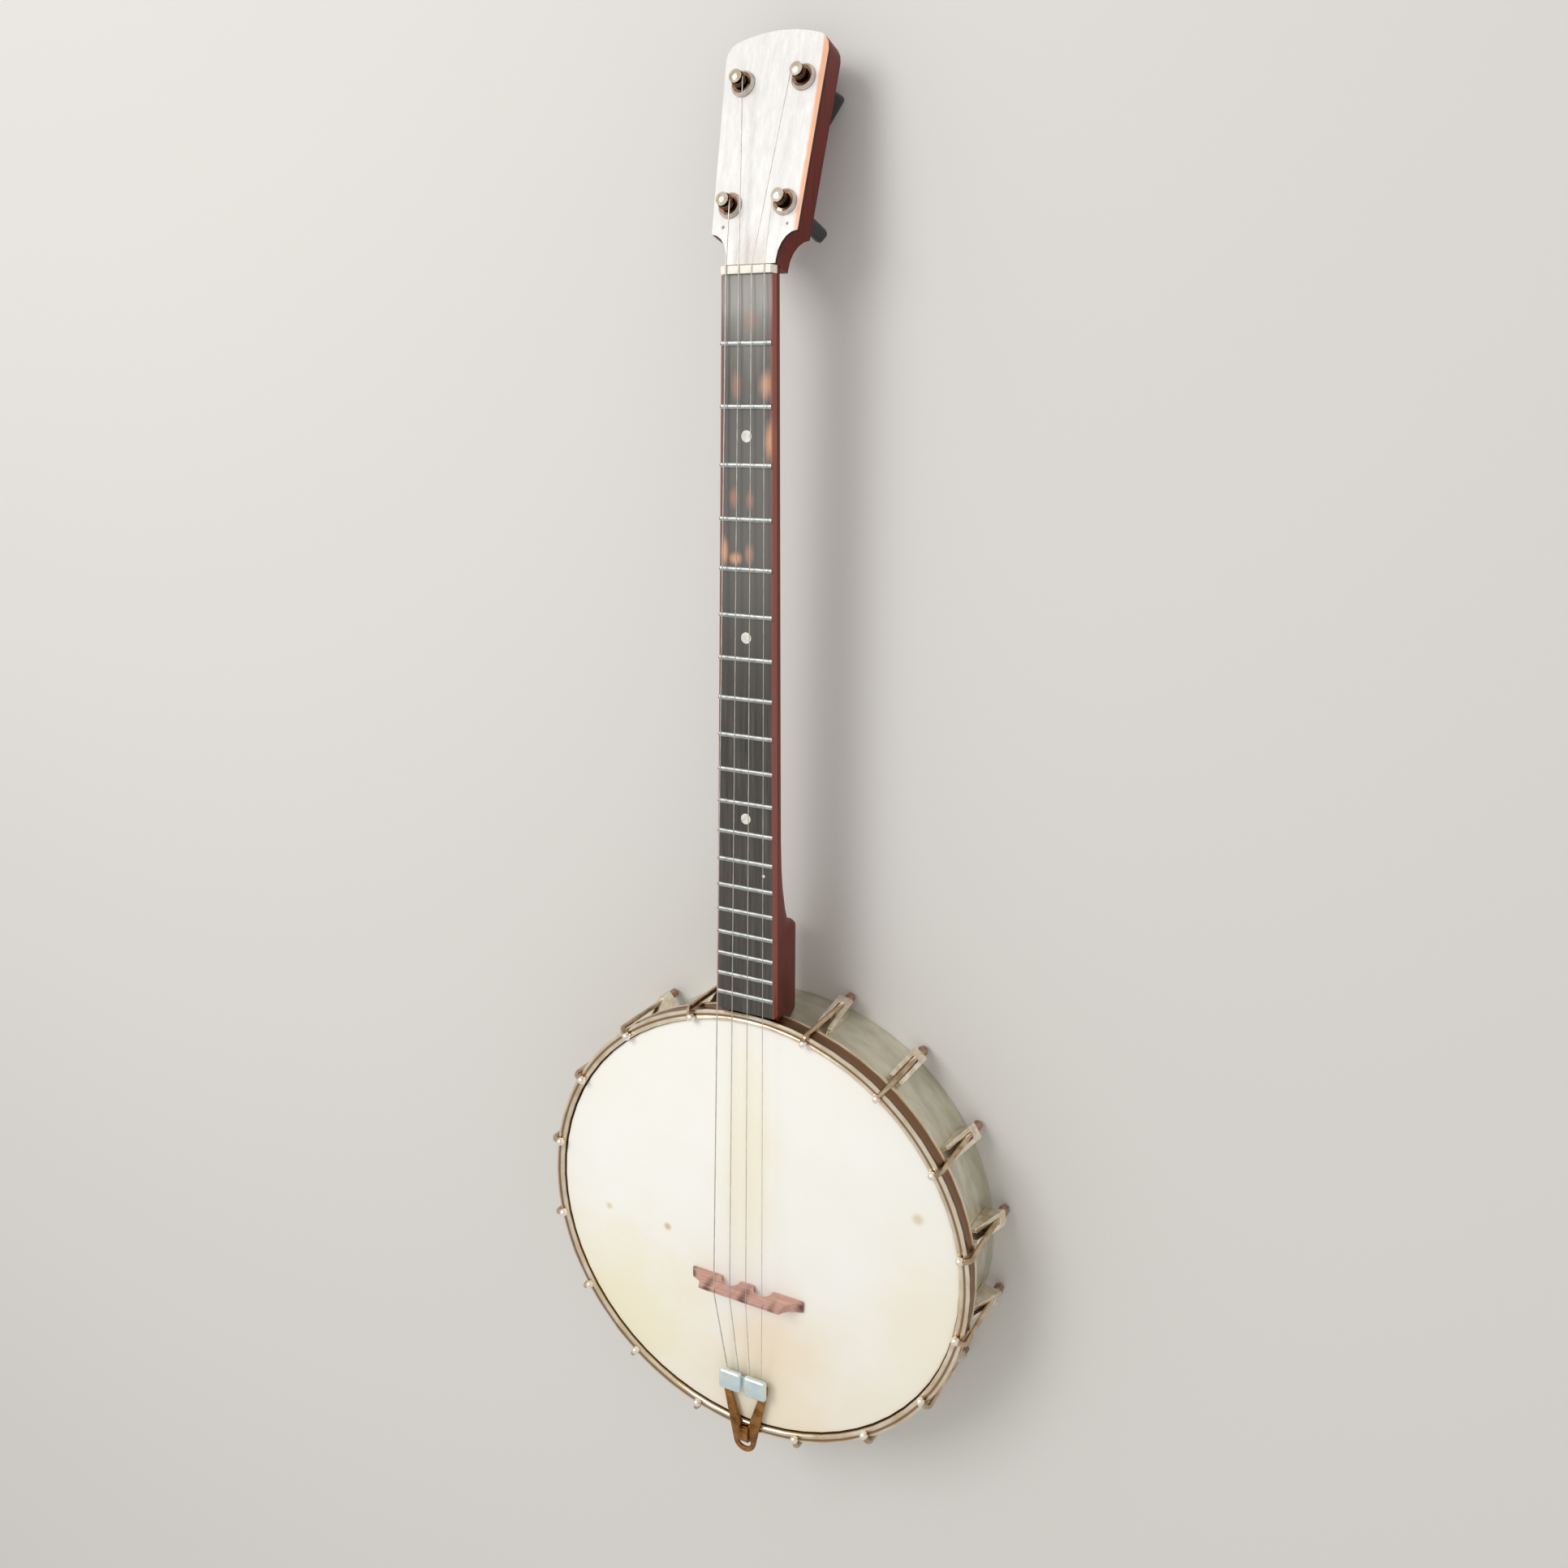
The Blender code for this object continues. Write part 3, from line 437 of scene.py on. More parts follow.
class Metal(Enum):
    """Metals of the banjo's fittings."""

    # Nickel plate dulled to a soft grey green on the spun cladding
    CLADDING = Finish("satin_nickel_cladding", "#C9C6B2", "#E9E6D7", 0.42, 1.0, grain=(22.0, 22.0, 9.0),
                      contrast=0.35)
    # Cast and plated shoes, post caps and tail bolt, bright with brown tarnish in places
    FITTING = Finish("bright_nickel_plate", "#DCCBB0", "#FCF5E8", 0.24, 1.0, grain=(5.0, 5.0, 5.0),
                     contrast=0.3)
    # Hook ends on the hoop, lighter than the rods as a painted highlight
    KNOB = Finish("nickel_hook_end_painted_highlight", "#F2E8D8", "#FFFBF2", 0.34, 1.0, grain=(3.0, 3.0, 3.0))
    # Hook rods, brown partly from tarnished plating and partly as a painted warm reflection
    ROD = Finish("nickel_rod_tarnish_and_painted_reflection", "#A08468", "#E2CCB0", 0.3, 1.0, grain=(5.0, 5.0, 12.0), contrast=0.4)
    # Bracket nuts tarnished to a pinkish brown
    NUT = Finish("tarnished_bracket_nut", "#8E6A58", "#C8A694", 0.32, 1.0, grain=(3.0, 3.0, 3.0),
                 contrast=0.4)
    # String posts, brown where the plating has gone; also laid round each post on its bush as painted shade,
    # and on the strings' turns round each post
    POST = Finish("browned_string_post", "#4E3626", "#8C6C54", 0.34, 1.0, grain=(2.0, 2.0, 2.0),
                  contrast=0.4)
    # String hoods of the tailpiece, nickel plate with a painted bluish white glare
    PLATE = Finish("nickel_plate_painted_blue_glare", "#CFE6EA", "#F2FEFE", 0.36, 1.0, grain=(9.0, 9.0, 9.0),
                   contrast=0.4)
    # Tailpiece frame and hanger, nickel plate painted brown as a reflection of the dark surroundings
    TAIL = Finish("nickel_painted_brown_reflection", "#6E4826", "#B8854E", 0.38, 1.0, grain=(6.0, 6.0, 6.0), contrast=0.35)
    # Plain drawn steel wire
    WIRE = Finish("drawn_steel_wire", "#BDBAB2", "#DEDBD2", 0.4, 1.0, grain=(0.8, 6.0, 0.8))
    # Fret wire polished by playing
    FRET = Finish("polished_fret_wire", "#A2A4A2", "#C6C8C6", 0.44, 1.0, grain=(3.0, 1.0, 1.0))
    # Turned bushes with a pinkish grey tarnish
    BUSH = Finish("tarnished_nickel_bush", "#C9BBB0", "#E8DDD4", 0.5, 1.0, grain=(4.0, 4.0, 4.0))


class Natural(Enum):
    """Woods, bone and celluloid of the banjo."""

    # Straight-grained mahogany under old gloss varnish
    MAHOGANY = Finish("varnished_mahogany", "#3E0802", "#84220C", 0.5, coat=0.04, grain=(1.6, 60.0, 1.6),
                      contrast=0.5, relief=0.03, ior=1.38)
    # Pale maple of the rim and dowel under thin varnish
    MAPLE = Finish("varnished_maple", "#B58A55", "#D8B481", 0.42, coat=0.2, grain=(6.0, 30.0, 1.5),
                   contrast=0.4)
    # Bone nut, ivory with faint pores
    BONE = Finish("polished_bone", "#EFEAD8", "#FAF7EC", 0.38, grain=(1.2, 2.0, 1.2), contrast=0.4)
    # Old glue and stain in the seam under the veneer
    SEAM = Finish("dark_glue_seam", "#220404", "#3A0C08", 0.5, grain=(2.0, 8.0, 2.0))
    # Black celluloid peg buttons, with a worn bloom
    BUTTON = Finish("black_celluloid", "#0C0C0D", "#232326", 0.3, coat=0.2, grain=(3.0, 3.0, 3.0))
    # White celluloid position dots
    DOT = Finish("white_celluloid_inlay", "#D8D4C8", "#F2F0E8", 0.3, grain=(2.0, 2.0, 2.0))


def vellum_finish(place: HeadPlace) -> SpottedFinish:
    """Stretched calf vellum: nearly white, yellow toward its edge, with a few old stains.

    Args:
        place: Where the head lies.

    Returns:
        The finish.
    """
    spots = (
        Spot(-92.0, -92.0, 104.0, "#F9F0C6", 0.62),
        Spot(20.0, -112.0, 96.0, "#FBEBCC", 0.7),
        Spot(14.0, -72.0, 40.0, "#FBE4C6", 0.5),
        Spot(0.0, 50.0, 28.0, "#FBF4D8", 0.7, 4.0),
        Spot(118.0, -50.0, 64.0, "#FBF2D2", 0.5, 1.8),
        Spot(-100.7, -13.8, 3.6, "#D6C08A", 0.6),
        Spot(-57.2, -15.2, 3.8, "#CDAE74", 0.75),
        Spot(107.8, 39.9, 5.0, "#D8C592", 0.6),
    )
    return SpottedFinish("calf_vellum", "#FBF9F0", "#FEFDF8", 0.6, grain=(45.0, 45.0, 45.0), contrast=0.5,
                         relief=0.05, origin=place.centre, spots=spots)


def bridge_finish(place: HeadPlace) -> SpottedFinish:
    """Bare maple bridge, pinkish with age, darker at its ends, with painted shade in its arches.

    Args:
        place: Where the head lies.

    Returns:
        The finish.
    """
    dark = "#4A241A"
    # Dark brown for the darker ends and for painted shade in the arches
    spots = (
        # The darker ends
        Spot(-38.0, -40.0, 5.5, dark, 0.85),
        Spot(38.0, -40.0, 5.5, dark, 0.85),
        # Painted shade in the three arches
        Spot(-22.0, -40.0, 4.6, dark, 0.8),
        Spot(2.5, -40.0, 5.0, dark, 0.8),
        Spot(22.0, -40.0, 3.6, dark, 0.6),
    )
    return SpottedFinish("bare_bridge_maple", "#B07E70", "#DDB3A4", 0.5, grain=(16.0, 1.0, 1.2),
                         contrast=0.6, origin=place.centre, spots=spots)


def hoop_finish(place: HeadPlace) -> HoopFinish:
    """Nickel plate on the hoop, bright on its beads, with brown painted shade in its groove and on its wall.

    Args:
        place: Where the head lies.

    Returns:
        The finish.
    """
    top = Vector((place.centre.x, place.centre.y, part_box("tension_hoop")[1].z))
    return HoopFinish("nickel_hoop_with_painted_shade", "#DCC4A0", "#FBF0DC", 0.3, 1.0, grain=(14.0, 14.0, 6.0),
                      contrast=0.4, top=top)


def board_finish(place: HeadPlace) -> EdgeWornFinish:
    """Ebonised fingerboard, worn through to orange-brown wood under the fingers, with grey patches of
    painted sheen.

    Args:
        place: Where the head lies.

    Returns:
        The finish.
    """
    worn = "#B8866C"
    bare = "#E2A884"
    spots = (
        # The grey patches near the nut and mid board are painted sheen
        Spot(0.0, 538.0, 34.0, "#A29E98", 0.75, 2.0),
        Spot(0.0, 430.0, 40.0, "#7C7A76", 0.6, 3.0),
        Spot(2.3, 516.3, 4.4, "#A88474", 0.6, 1.8),
        Spot(-6.0, 485.3, 4.2, worn, 0.6, 2.4),
        Spot(11.0, 485.2, 5.4, bare, 0.75, 1.9),
        Spot(14.4, 458.6, 5.6, bare, 0.95, 2.6),
        Spot(-7.5, 429.7, 3.8, worn, 0.7, 2.0),
        Spot(2.1, 428.4, 3.4, worn, 0.6, 1.8),
        Spot(-13.4, 402.0, 3.8, bare, 0.9, 2.6),
        Spot(-6.5, 398.6, 5.4, bare, 0.85, 0.8),
        Spot(1.7, 401.1, 3.8, worn, 0.8, 1.9),
    )
    low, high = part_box("fingerboard")
    return EdgeWornFinish("ebonised_fingerboard", "#2A2826", "#5A5650", 0.42, coat=0.1,
                          grain=(1.4, 40.0, 1.4), contrast=0.5, relief=0.04,
                          origin=place.centre, spots=spots,
                          near_line=low.y, far_line=high.y, near_half=high.x)


def face_finish(place: HeadPlace) -> EdgeWornFinish:
    """Peghead face: pale veneer under glossy varnish, rubbed to orange wood along its right edge.

    Args:
        place: Where the head lies.

    Returns:
        The finish.
    """
    spots = (
        Spot(0.0, 546.0, 13.0, "#CFC4BA", 0.7, 1.6),
        Spot(-18.0, 561.5, 1.3, "#4A3A30", 0.9),
        Spot(18.0, 561.5, 1.3, "#4A3A30", 0.9),
    )
    shoulder = place.point(0.0, 558.3).y
    shoulder_half = 24.2
    widest = place.point(0.0, 642.3).y
    widest_half = 27.6
    return EdgeWornFinish("pale_varnished_veneer", "#E4E2DE", "#F9F8F6", 0.26, coat=0.25,
                          grain=(2.2, 46.0, 2.2), contrast=0.6, relief=0.01,
                          origin=place.centre, spots=spots,
                          near_line=shoulder, far_line=widest,
                          near_half=shoulder_half * MM, far_half=widest_half * MM,
                          edge_colour="#F0A878", both_edges=False, worn_reach=(1.6, 3.6))


def shaped_copy(node: str, finish: bpy.types.Material, smooth: float,
                edge: float = 0.0) -> bpy.types.Object:
    """Copy a fixed piece, smooth its round faces and ease its edges.

    Args:
        node: Fixed piece to copy.
        finish: Material of the copy.
        smooth: Greatest angle, in degrees, across which the shading stays smooth.
        edge: Width of the eased edges, or none at 0.

    Returns:
        The copy, which stands for the fixed piece.
    """
    mesh = frame["nodes"][node].data.copy()
    mesh.name = f"{node}_shaped"
    mesh.materials.clear()
    mesh.materials.append(finish)
    builder = bmesh.new()
    builder.from_mesh(mesh)
    bmesh.ops.remove_doubles(builder, verts=builder.verts, dist=MERGE_DISTANCE)
    bmesh.ops.dissolve_limit(builder, angle_limit=math.radians(FLAT_ANGLE), verts=builder.verts,
                             edges=builder.edges)
    for face in builder.faces:
        face.smooth = True
    builder.to_mesh(mesh)
    builder.free()
    mesh.set_sharp_from_angle(angle=math.radians(smooth))
    piece = bpy.data.objects.new(mesh.name, mesh)
    bpy.context.scene.collection.objects.link(piece)
    if edge:
        ease_edges(piece, edge, smooth)
    body = next(key for key, members in frame["record"]["behaviour"]["bodies"].items() if node in members)
    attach(piece, body)
    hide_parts(node)
    log.info("%s stands for %s", piece.name, node)
    return piece


def ease_edges(piece: bpy.types.Object, edge: float, smooth: float) -> None:
    """Ease the edges of a piece.

    Args:
        piece: The piece.
        edge: Width of the eased edges.
        smooth: Greatest angle, in degrees, that isn't an edge.
    """
    bevel = piece.modifiers.new("eased_edges", "BEVEL")
    bevel.width = edge * MM
    bevel.segments = EASED_SEGMENTS
    bevel.limit_method = "ANGLE"
    bevel.angle_limit = math.radians(smooth)
    bevel.harden_normals = True


def add_piece(name: str, builder: bmesh.types.BMesh, finish: bpy.types.Material,
              smooth: float = 35.0) -> bpy.types.Object:
    """Turn a bmesh made in place into a piece of the fixed body.

    Args:
        name: Name of the piece.
        builder: The bmesh, which is freed.
        finish: Material of the piece.
        smooth: Greatest angle, in degrees, across which the shading stays smooth.

    Returns:
        The new piece.
    """
    bmesh.ops.recalc_face_normals(builder, faces=builder.faces)
    for face in builder.faces:
        face.smooth = True
    mesh = bpy.data.meshes.new(name)
    builder.to_mesh(mesh)
    builder.free()
    mesh.materials.append(finish)
    mesh.set_sharp_from_angle(angle=math.radians(smooth))
    piece = bpy.data.objects.new(name, mesh)
    bpy.context.scene.collection.objects.link(piece)
    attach(piece, FIXED_BODY)
    log.info("added %s", name)
    return piece


@dataclass
class Pot:
    """Rim, cladding, vellum, hoops and the tailpiece."""

    smooth: float = 30.0
    hoop_smooth: float = 32.0
    stick_edge: float = 0.8
    bolt_edge: float = 0.2
    frame_edge: float = 0.5
    hanger_edge: float = 0.4
    bridge_edge: float = 0.3
    hood_reach: tuple[float, float] = (1.1, 16.3)
    hood_span: tuple[float, float] = (-110.6, -97.0)
    hood_height: tuple[float, float] = (4.6, 8.6)
    hood_round: float = 1.9
    hood_segments: int = 4
    hood_smooth: float = 50.0
    tie_span: tuple[float, float] = (-108.0, -100.0)
    tie_height: tuple[float, float] = (4.6, 5.1)

    def dress(self, place: HeadPlace) -> None:
        """Finish the turned and folded pieces of the pot.

        Args:
            place: Where the head lies.
        """
        cladding = Metal.CLADDING.value.material()
        hoop = hoop_finish(place).material()
        maple = Natural.MAPLE.value.material()
        fitting = Metal.FITTING.value.material()
        tail = Metal.TAIL.value.material()
        wire = Metal.WIRE.value.material()
        shaped_copy("rim_cladding", cladding, self.smooth)
        shaped_copy("rim_shell", maple, self.smooth)
        shaped_copy("tension_hoop", hoop, self.hoop_smooth)
        shaped_copy("flesh_hoop", wire, self.smooth)
        shaped_copy("vellum_head", vellum_finish(place).material(), self.smooth)
        shaped_copy("dowel_stick", maple, self.smooth, self.stick_edge)
        shaped_copy("tail_bolt", fitting, self.smooth, self.bolt_edge)
        shaped_copy("tailpiece_frame", tail, self.smooth, self.frame_edge)
        shaped_copy("tailpiece_hanger", tail, self.smooth, self.hanger_edge)
        self.make_hoods(place, Metal.PLATE.value.material())
        shaped_copy("bridge", bridge_finish(place).material(), self.smooth,
                    self.bridge_edge)

    def make_hoods(self, place: HeadPlace, finish: bpy.types.Material) -> None:
        """Make the string plate: two rounded hoods side by side, tied underneath.

        Args:
            place: Where the head lies.
            finish: Material of the plate.
        """
        builder = bmesh.new()
        inner, outer = self.hood_reach
        for side in (-1.0, 1.0):
            spans = (sorted((side * inner, side * outer)), self.hood_span, self.hood_height)
            edges = self.add_block(builder, place, spans)
            bmesh.ops.bevel(builder, geom=edges, offset=self.hood_round * MM, segments=self.hood_segments,
                            profile=0.5, affect="EDGES", material=-1)
        self.add_block(builder, place, ((-inner * 2, inner * 2), self.tie_span, self.tie_height))
        piece = add_piece("tailpiece_plate_shaped", builder, finish, self.hood_smooth)
        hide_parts("tailpiece_plate")

    def add_block(self, builder: bmesh.types.BMesh, place: HeadPlace,
                  spans: tuple) -> list[bmesh.types.BMEdge]:
        """Add a block to a bmesh.

        Args:
            builder: The bmesh.
            place: Where the head lies.
            spans: Lowest and highest place of the block along X, Y and Z.

        Returns:
            The block's edges.
        """
        middle = place.point(*[sum(span) / 2 for span in spans])
        sizes = Vector([(span[1] - span[0]) * MM for span in spans])
        matrix = Matrix.Translation(middle) @ Matrix.Diagonal(sizes).to_4x4()
        made = bmesh.ops.create_cube(builder, size=1.0, matrix=matrix)
        return list(dict.fromkeys(edge for vertex in made["verts"] for edge in vertex.link_edges))


@dataclass
class Brackets:
    """Bracket hooks with their nuts, and the horseshoe-shaped shoes that they pass through."""

    rim_radius: float = 133.25
    shoe_half: float = 4.9
    slot_half: float = 2.0
    shoe_front: float = -22.5
    shoe_back: float = -48.2
    slot_end: float = -43.4
    rise_front: float = 3.6
    rise_back: float = 12.4
    corner_round: float = 1.3
    corner_segments: int = 3
    shoe_edge: float = 0.35
    shoe_smooth: float = 30.0
    hook_smooth: float = 50.0
    nut_start: float = -48.4
    knob_radius: float = 2.6
    knob_depth: float = 1.2
    knob_facets: int = 20
    knob_smooth: float = 60.0

    def dress(self, place: HeadPlace) -> None:
        """Finish every hook and make every shoe and hook end.

        Args:
            place: Where the head lies.
        """
        fitting = Metal.FITTING.value.material()
        rod = Metal.ROD.value.material()
        nut = Metal.NUT.value.material()
        # The hook ends are lighter than the rods as a painted highlight
        bright = Metal.KNOB.value.material()
        for node in sorted(frame["nodes"]):
            if node.startswith("hook_"):
                hook = shaped_copy(node, rod, self.hook_smooth)
                self.tarnish_nut(place, hook, nut)
                self.make_knob(place, node, bright)
            if node.startswith("shoe_"):
                self.make_shoe(place, node, fitting)

    def tarnish_nut(self, place: HeadPlace, hook: bpy.types.Object, nut: bpy.types.Material) -> None:
        """Give the end of a hook beyond its shoe the finish of its nut.

        Args:
            place: Where the head lies.
            hook: The hook.
            nut: Finish of the nut.
        """
        hook.data.materials.append(nut)
        start = place.point(0.0, 0.0, self.nut_start).z
        for polygon in hook.data.polygons:
            if polygon.center.z < start:
                polygon.material_index = 1

    def make_knob(self, place: HeadPlace, node: str, finish: bpy.types.Material) -> None:
        """Make the rounded end of a hook, on the hoop, light with a painted highlight.

        Args:
            place: Where the head lies.
            node: The hook.
            finish: Material of the knob.
        """
        points = [vertex.co.copy() for vertex in frame["nodes"][node].data.vertices]
        reach = min((point - place.centre).xy.length for point in points)
        tip = [point for point in points if (point - place.centre).xy.length < reach + self.knob_depth * MM]
        middle = sum(tip, Vector()) / len(tip)
        builder = bmesh.new()
        bmesh.ops.create_uvsphere(builder, u_segments=self.knob_facets, v_segments=self.knob_facets // 2,
                                  radius=self.knob_radius * MM, matrix=Matrix.Translation(middle))
        add_piece(f"{node}_end", builder, finish, self.knob_smooth)

    def make_shoe(self, place: HeadPlace, node: str, finish: bpy.types.Material) -> None:
        """Make a shoe where its fixed piece stands on the rim.

        Args:
            place: Where the head lies.
            node: The shoe that it stands for.
            finish: Material of the shoe.
        """
        builder = self.shoe_form()
        points = [vertex.co for vertex in frame["nodes"][node].data.vertices]
        middle = sum(points, Vector()) / len(points) - place.centre
        turn = Matrix.Rotation(math.atan2(middle.y, middle.x), 4, "Z")
        bmesh.ops.transform(builder, matrix=Matrix.Translation(place.centre) @ turn, verts=builder.verts)
        piece = add_piece(f"{node}_shaped", builder, finish, self.shoe_smooth)
        ease_edges(piece, self.shoe_edge, self.shoe_smooth)
        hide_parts(node)

    def shoe_form(self) -> bmesh.types.BMesh:
        """Form a horseshoe-shaped wedge, open toward the hoop, with a slot for the hook.

        Returns:
            The shoe as it stands on the rim's right side.
        """
        half, slot = self.shoe_half, self.slot_half
        front, back, end = self.shoe_front, self.shoe_back, self.slot_end
        builder = bmesh.new()
        outline = ((-half, front), (-half, back), (half, back), (half, front),
                   (slot, front), (slot, end), (-slot, end), (-slot, front))
        foot = [builder.verts.new(Vector((self.rim_radius, across, z)) * MM) for across, z in outline]
        raised = [builder.verts.new(vertex.co) for vertex in foot]
        for vertex in raised:
            share = (vertex.co.z / MM - front) / (back - front)
            vertex.co.x += (self.rise_front + (self.rise_back - self.rise_front) * share) * MM
        # Made one by one, because after an extrusion the eased edges differed from run to run
        builder.faces.new(foot)
        builder.faces.new(raised[::-1])
        for index, corner in enumerate(foot):
            builder.faces.new((corner, foot[index - 1], raised[index - 1], raised[index]))
        upright = [
            edge for edge in builder.edges
            if (edge.verts[0].co - edge.verts[1].co).yz.length < UPRIGHT_REACH
        ]
        bmesh.ops.bevel(builder, geom=upright, offset=self.corner_round * MM, segments=self.corner_segments,
                        profile=0.5, affect="EDGES", material=-1)
        return builder


@dataclass
class Neck:
    """Neck, peghead face, nut and fingerboard wood."""

    neck_smooth: float = 38.0
    face_smooth: float = 35.0
    face_edge: float = 0.4
    side_lean: float = 0.5
    board_smooth: float = 20.0
    nut_smooth: float = 30.0
    nut_edge: float = 0.2

    def dress(self, place: HeadPlace) -> None:
        """Finish the neck's woods and its nut.

        Args:
            place: Where the head lies.
        """
        veneer = face_finish(place).material()
        shaped_copy("neck", Natural.MAHOGANY.value.material(), self.neck_smooth)
        face = shaped_copy("peghead_face", veneer, self.face_smooth, self.face_edge)
        self.darken_seam(face)
        shaped_copy("fingerboard", board_finish(place).material(), self.board_smooth)
        shaped_copy("nut", Natural.BONE.value.material(), self.nut_smooth, self.nut_edge)

    def darken_seam(self, face: bpy.types.Object) -> None:
        """Give the veneer its dark glue seam.

        Args:
            face: The peghead's face.
        """
        face.data.materials.append(Natural.SEAM.value.material())
        up = max((polygon for polygon in face.data.polygons), key=lambda polygon: polygon.area).normal.copy()
        for polygon in face.data.polygons:
            if abs(polygon.normal.dot(up)) < self.side_lean:
                polygon.material_index = 1


@dataclass
class Fretwork:
    """Crowned fret wires and inlaid dots on the fingerboard."""

    scale_length: float = 578.0
    fret_count: int = 19
    half_width_nut: float = 14.35
    fret_short: float = 0.4
    fret_width: float = 2.9
    fret_height: float = 1.0
    fret_crown: float = 1.1
    fret_facets: int = 20
    fret_smooth: float = 50.0
    dot_radius: float = 3.0
    dot_spaces: tuple[int, ...] = (3, 7, 12)
    dot_proud: float = 0.06
    dot_facets: int = 40
    small_dot_radius: float = 0.9
    small_dot_place: tuple[float, float] = (11.2, 226.3)

    def line(self, place: HeadPlace, number: int) -> float:
        """Place of a fret along Y, in metres, by the twelfth root of two."""
        return place.nut_line - self.scale_length * MM * (1.0 - 2.0 ** (-number / 12.0))

    def half_width(self, place: HeadPlace, y: float) -> float:
        """Half the board's width at a place along Y, in metres.

        Args:
            place: Where the head lies; not used.
            y: The place along Y, in metres.

        Returns:
            Half the width.
        """
        low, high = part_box("fingerboard")
        share = (y - low.y) / (high.y - low.y)
        return high.x + (self.half_width_nut * MM - high.x) * share

    def make(self, place: HeadPlace) -> None:
        """Lay the frets and the dots.

        Args:
            place: Where the head lies.
        """
        wire = Metal.FRET.value.material()
        dot = Natural.DOT.value.material()
        for number in range(1, self.fret_count + 1):
            self.make_fret(place, number, wire)
        for space in self.dot_spaces:
            y = (self.line(place, space) + self.line(place, space - 1)) / 2
            self.make_dot(f"dot_{space:02d}", Vector((0.0, y, place.board_top)), self.dot_radius, dot)
        small = place.point(*self.small_dot_place)
        small.z = place.board_top
        self.make_dot("dot_side", small, self.small_dot_radius, dot)

    def make_fret(self, place: HeadPlace, number: int, wire: bpy.types.Material) -> None:
        """Lay one crowned wire across the board.

        Args:
            place: Where the head lies.
            number: The fret's number, from the nut.
            wire: Material of the wire.
        """
        y = self.line(place, number)
        half = self.half_width(place, y) - self.fret_short * MM
        builder = bmesh.new()
        bmesh.ops.create_cone(builder, cap_ends=True, segments=self.fret_facets, radius1=1.0, radius2=1.0,
                              depth=2.0 * half, matrix=Matrix.Rotation(math.pi / 2, 4, "Y"))
        bmesh.ops.scale(builder, vec=(1.0, self.fret_width * MM / 2, self.fret_crown * MM),
                        verts=builder.verts)
        bmesh.ops.translate(builder, vec=(0.0, y, place.board_top), verts=builder.verts)
        add_piece(f"fret_{number:02d}", builder, wire, self.fret_smooth)

    def make_dot(self, name: str, centre: Vector, radius: float, finish: bpy.types.Material) -> None:
        """Inlay one round dot, a hair proud of the board.

        Args:
            name: Name of the dot.
            centre: Middle of the dot.
            radius: Radius of the dot.
            finish: Material of the dot.
        """
        builder = bmesh.new()
        place = Matrix.Translation(centre)
        bmesh.ops.create_cone(builder, cap_ends=True, segments=self.dot_facets, radius1=radius * MM,
                              radius2=radius * MM, depth=2 * self.dot_proud * MM, matrix=place)
        add_piece(name, builder, finish)


@dataclass
class Stringing:
    """Strings, pegs and the bushes that the pegs turn in."""

    string_smooth: float = 60.0
    bush_smooth: float = 30.0
    bush_edge: float = 0.15
    peg_smooth: float = 35.0
    cap_depth: float = 2.2
    post_top: float = 29.0
    brown_reach: float = 4.4
    tilt: float = 15.0

    def dress(self) -> None:
        """Finish the strings, pegs and bushes."""
        wire = Metal.WIRE.value.material()
        bush = Metal.BUSH.value.material()
        button = Natural.BUTTON.value.material()
        post = Metal.POST.value.material()
        cap = Metal.FITTING.value.material()
        pegs = [node for node in frame["nodes"] if node[:-1] == "peg_"]
        axes = [self.axis(node) for node in pegs]
        for node in sorted(frame["nodes"]):
            if node.startswith("string_"):
                string = shaped_copy(node, wire, self.string_smooth)
                self.brown_near(string, axes, post)
            if node.startswith("peg_bush_"):
                ring = shaped_copy(node, bush, self.bush_smooth, self.bush_edge)
                # The bush's faces close round the post are browned as painted shade
                self.brown_near(ring, axes, post)
            if node in pegs:
                peg = shaped_copy(node, button, self.peg_smooth)
                self.plate_post(peg, post, cap)

    def level(self, point: Vector) -> Vector:
        """Turn a point so that the peghead lies level."""
        return Matrix.Rotation(math.radians(self.tilt), 3, "X") @ point

    def axis(self, node: str) -> Vector:
        """Where a peg's axis meets the level peghead."""
        points = [self.level(vertex.co) for vertex in frame["nodes"][node].data.vertices]
        return (sum(points, Vector()) / len(points)).xy

    def brown_near(self, piece: bpy.types.Object, axes: list[Vector], brown: bpy.types.Material) -> None:
        """Brown whatever of a piece lies close round a post: on a bush this is painted shade in the hole
        round the post, and on a string it gives the turns round the post the post's brown.

        Args:
            piece: A string or a bush.
            axes: Where the pegs' axes lie.
            brown: Finish of the browned part.
        """
        piece.data.materials.append(brown)
        for polygon in piece.data.polygons:
            place = self.level(polygon.center).xy
            if min((place - axis).length for axis in axes) < self.brown_reach * MM:
                polygon.material_index = 1

    def plate_post(self, piece: bpy.types.Object, post: bpy.types.Material, cap: bpy.types.Material) -> None:
        """Give a peg's post and collar, everything above its button, a metal finish.

        Args:
            piece: The peg.
            post: Finish of the post and collar.
            cap: Finish of the post's cap.
        """
        piece.data.materials.append(post)
        piece.data.materials.append(cap)
        top = max(self.level(vertex.co).z for vertex in piece.data.vertices)
        for polygon in piece.data.polygons:
            depth = (top - self.level(polygon.center).z) / MM
            if depth < self.post_top:
                polygon.material_index = 1
            if depth < self.cap_depth:
                polygon.material_index = 2


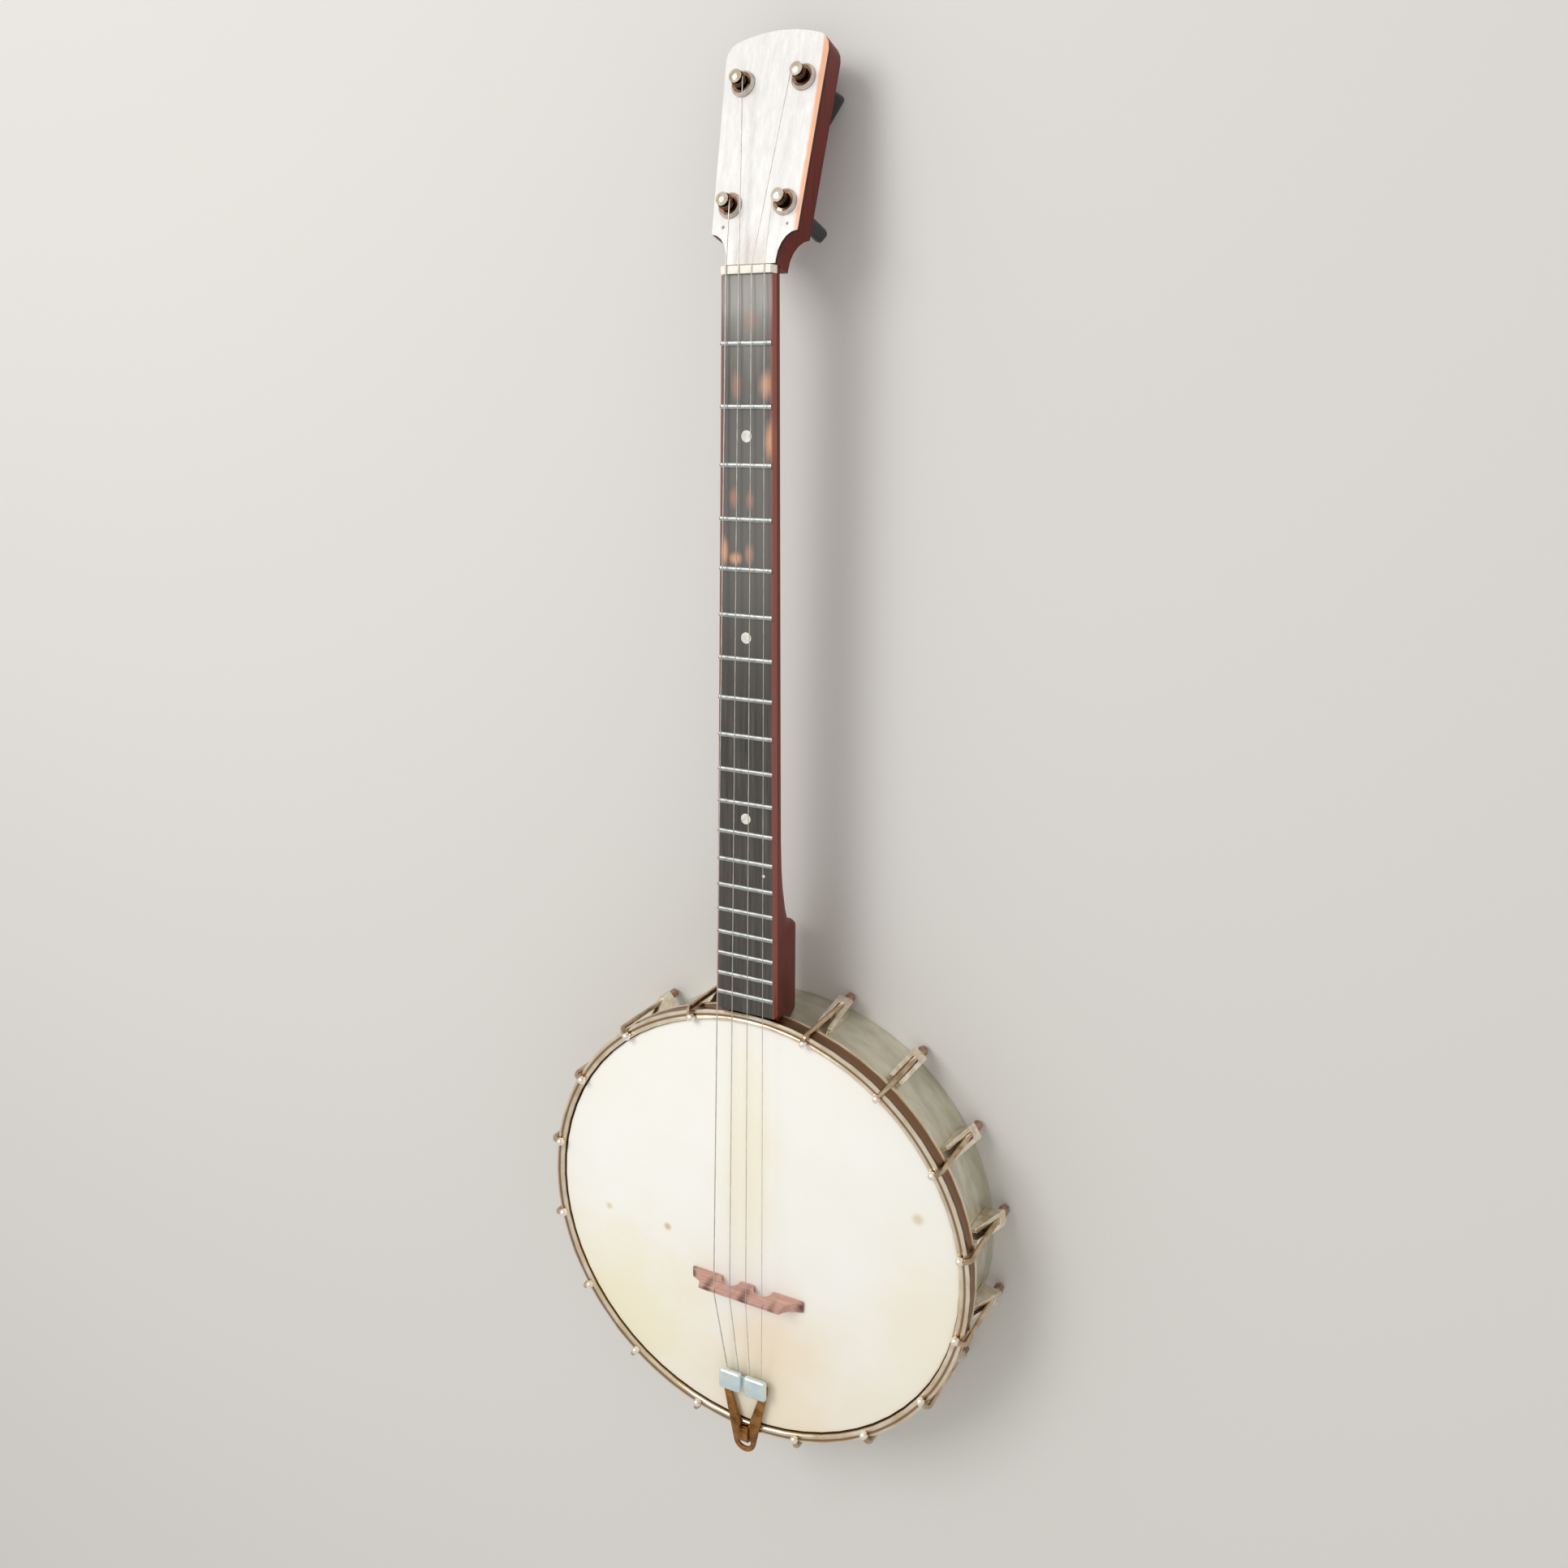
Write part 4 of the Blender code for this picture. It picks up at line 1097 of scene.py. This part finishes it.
@dataclass
class Studio:
    """Pale floor, soft light and the camera at the photograph's place.

    The lamp's place and size, the floor's reach and the near clip are in metres. The camera's place is in
    millimetres from the head's centre.
    """

    image_size: float = 1932.0
    focal_pixels: float = 1667.01
    sensor: float = 36.0
    camera_place: tuple[float, float, float] = (345.95, 467.25, 624.96)
    camera_right: tuple[float, float, float] = (0.88626, 0.00906, -0.46309)
    camera_down: tuple[float, float, float] = (0.12719, -0.96614, 0.2245)
    camera_forward: tuple[float, float, float] = (-0.44538, -0.25787, -0.8574)
    clip_start: float = 0.02
    floor_colour: str = "#DEDCD8"
    floor_grain: float = 40.0
    floor_roughness: float = 0.9
    sky_colour: str = "#FFFDFA"
    floor_reach: float = 6.0
    sky_strength: float = 0.66
    key_power: float = 18.0
    key_place: tuple[float, float, float] = (-0.7, 1.0, 1.7)
    key_size: float = 1.0

    def build(self, place: HeadPlace) -> None:
        """Set the stage, the lights and the camera.

        Args:
            place: Where the head lies.
        """
        self.build_floor()
        self.build_light()
        self.build_camera(place)
        bpy.context.scene.view_settings.view_transform = "Standard"

    def build_floor(self) -> None:
        """Lay a plain pale floor under the banjo."""
        finish = Finish("plain_studio_floor", self.floor_colour, self.floor_colour, self.floor_roughness,
                        grain=(self.floor_grain,) * 3, relief=0.0)
        builder = bmesh.new()
        bmesh.ops.create_grid(builder, x_segments=1, y_segments=1, size=self.floor_reach)
        mesh = bpy.data.meshes.new("floor")
        builder.to_mesh(mesh)
        builder.free()
        mesh.materials.append(finish.material())
        floor = bpy.data.objects.new("floor", mesh)
        bpy.context.scene.collection.objects.link(floor)

    def build_light(self) -> None:
        """Light the banjo with an even sky and one broad lamp from the upper left."""
        world = bpy.data.worlds.new("studio")
        world.use_nodes = True
        background = world.node_tree.nodes["Background"]
        background.inputs["Color"].default_value = linear(self.sky_colour)
        background.inputs["Strength"].default_value = self.sky_strength
        bpy.context.scene.world = world
        lamp = bpy.data.lights.new("key", "AREA")
        lamp.energy = self.key_power
        lamp.size = self.key_size
        key = bpy.data.objects.new("key", lamp)
        bpy.context.scene.collection.objects.link(key)
        key.location = self.key_place
        key.rotation_euler = (-Vector(self.key_place)).to_track_quat("-Z", "Y").to_euler()

    def build_camera(self, place: HeadPlace) -> None:
        """Place the camera that was fitted to the frets, the rim and the peghead.

        Args:
            place: Where the head lies.
        """
        camera = bpy.data.cameras.new("camera")
        camera.sensor_width = self.sensor
        camera.lens = self.sensor * self.focal_pixels / self.image_size
        camera.clip_start = self.clip_start
        seen = bpy.data.objects.new("camera", camera)
        bpy.context.scene.collection.objects.link(seen)
        columns = (Vector(self.camera_right), -Vector(self.camera_down), -Vector(self.camera_forward))
        turn = Matrix(columns).transposed().to_4x4()
        turn.translation = place.point(*self.camera_place)
        seen.matrix_world = turn
        bpy.context.scene.camera = seen


def main() -> None:
    """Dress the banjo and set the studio."""
    logging.basicConfig(level=logging.INFO, format="%(message)s")
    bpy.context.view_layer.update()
    place = HeadPlace.read()
    Pot().dress(place)
    Brackets().dress(place)
    Neck().dress(place)
    Fretwork().make(place)
    Stringing().dress()
    Studio().build(place)


if __name__ == "__main__":
    main()
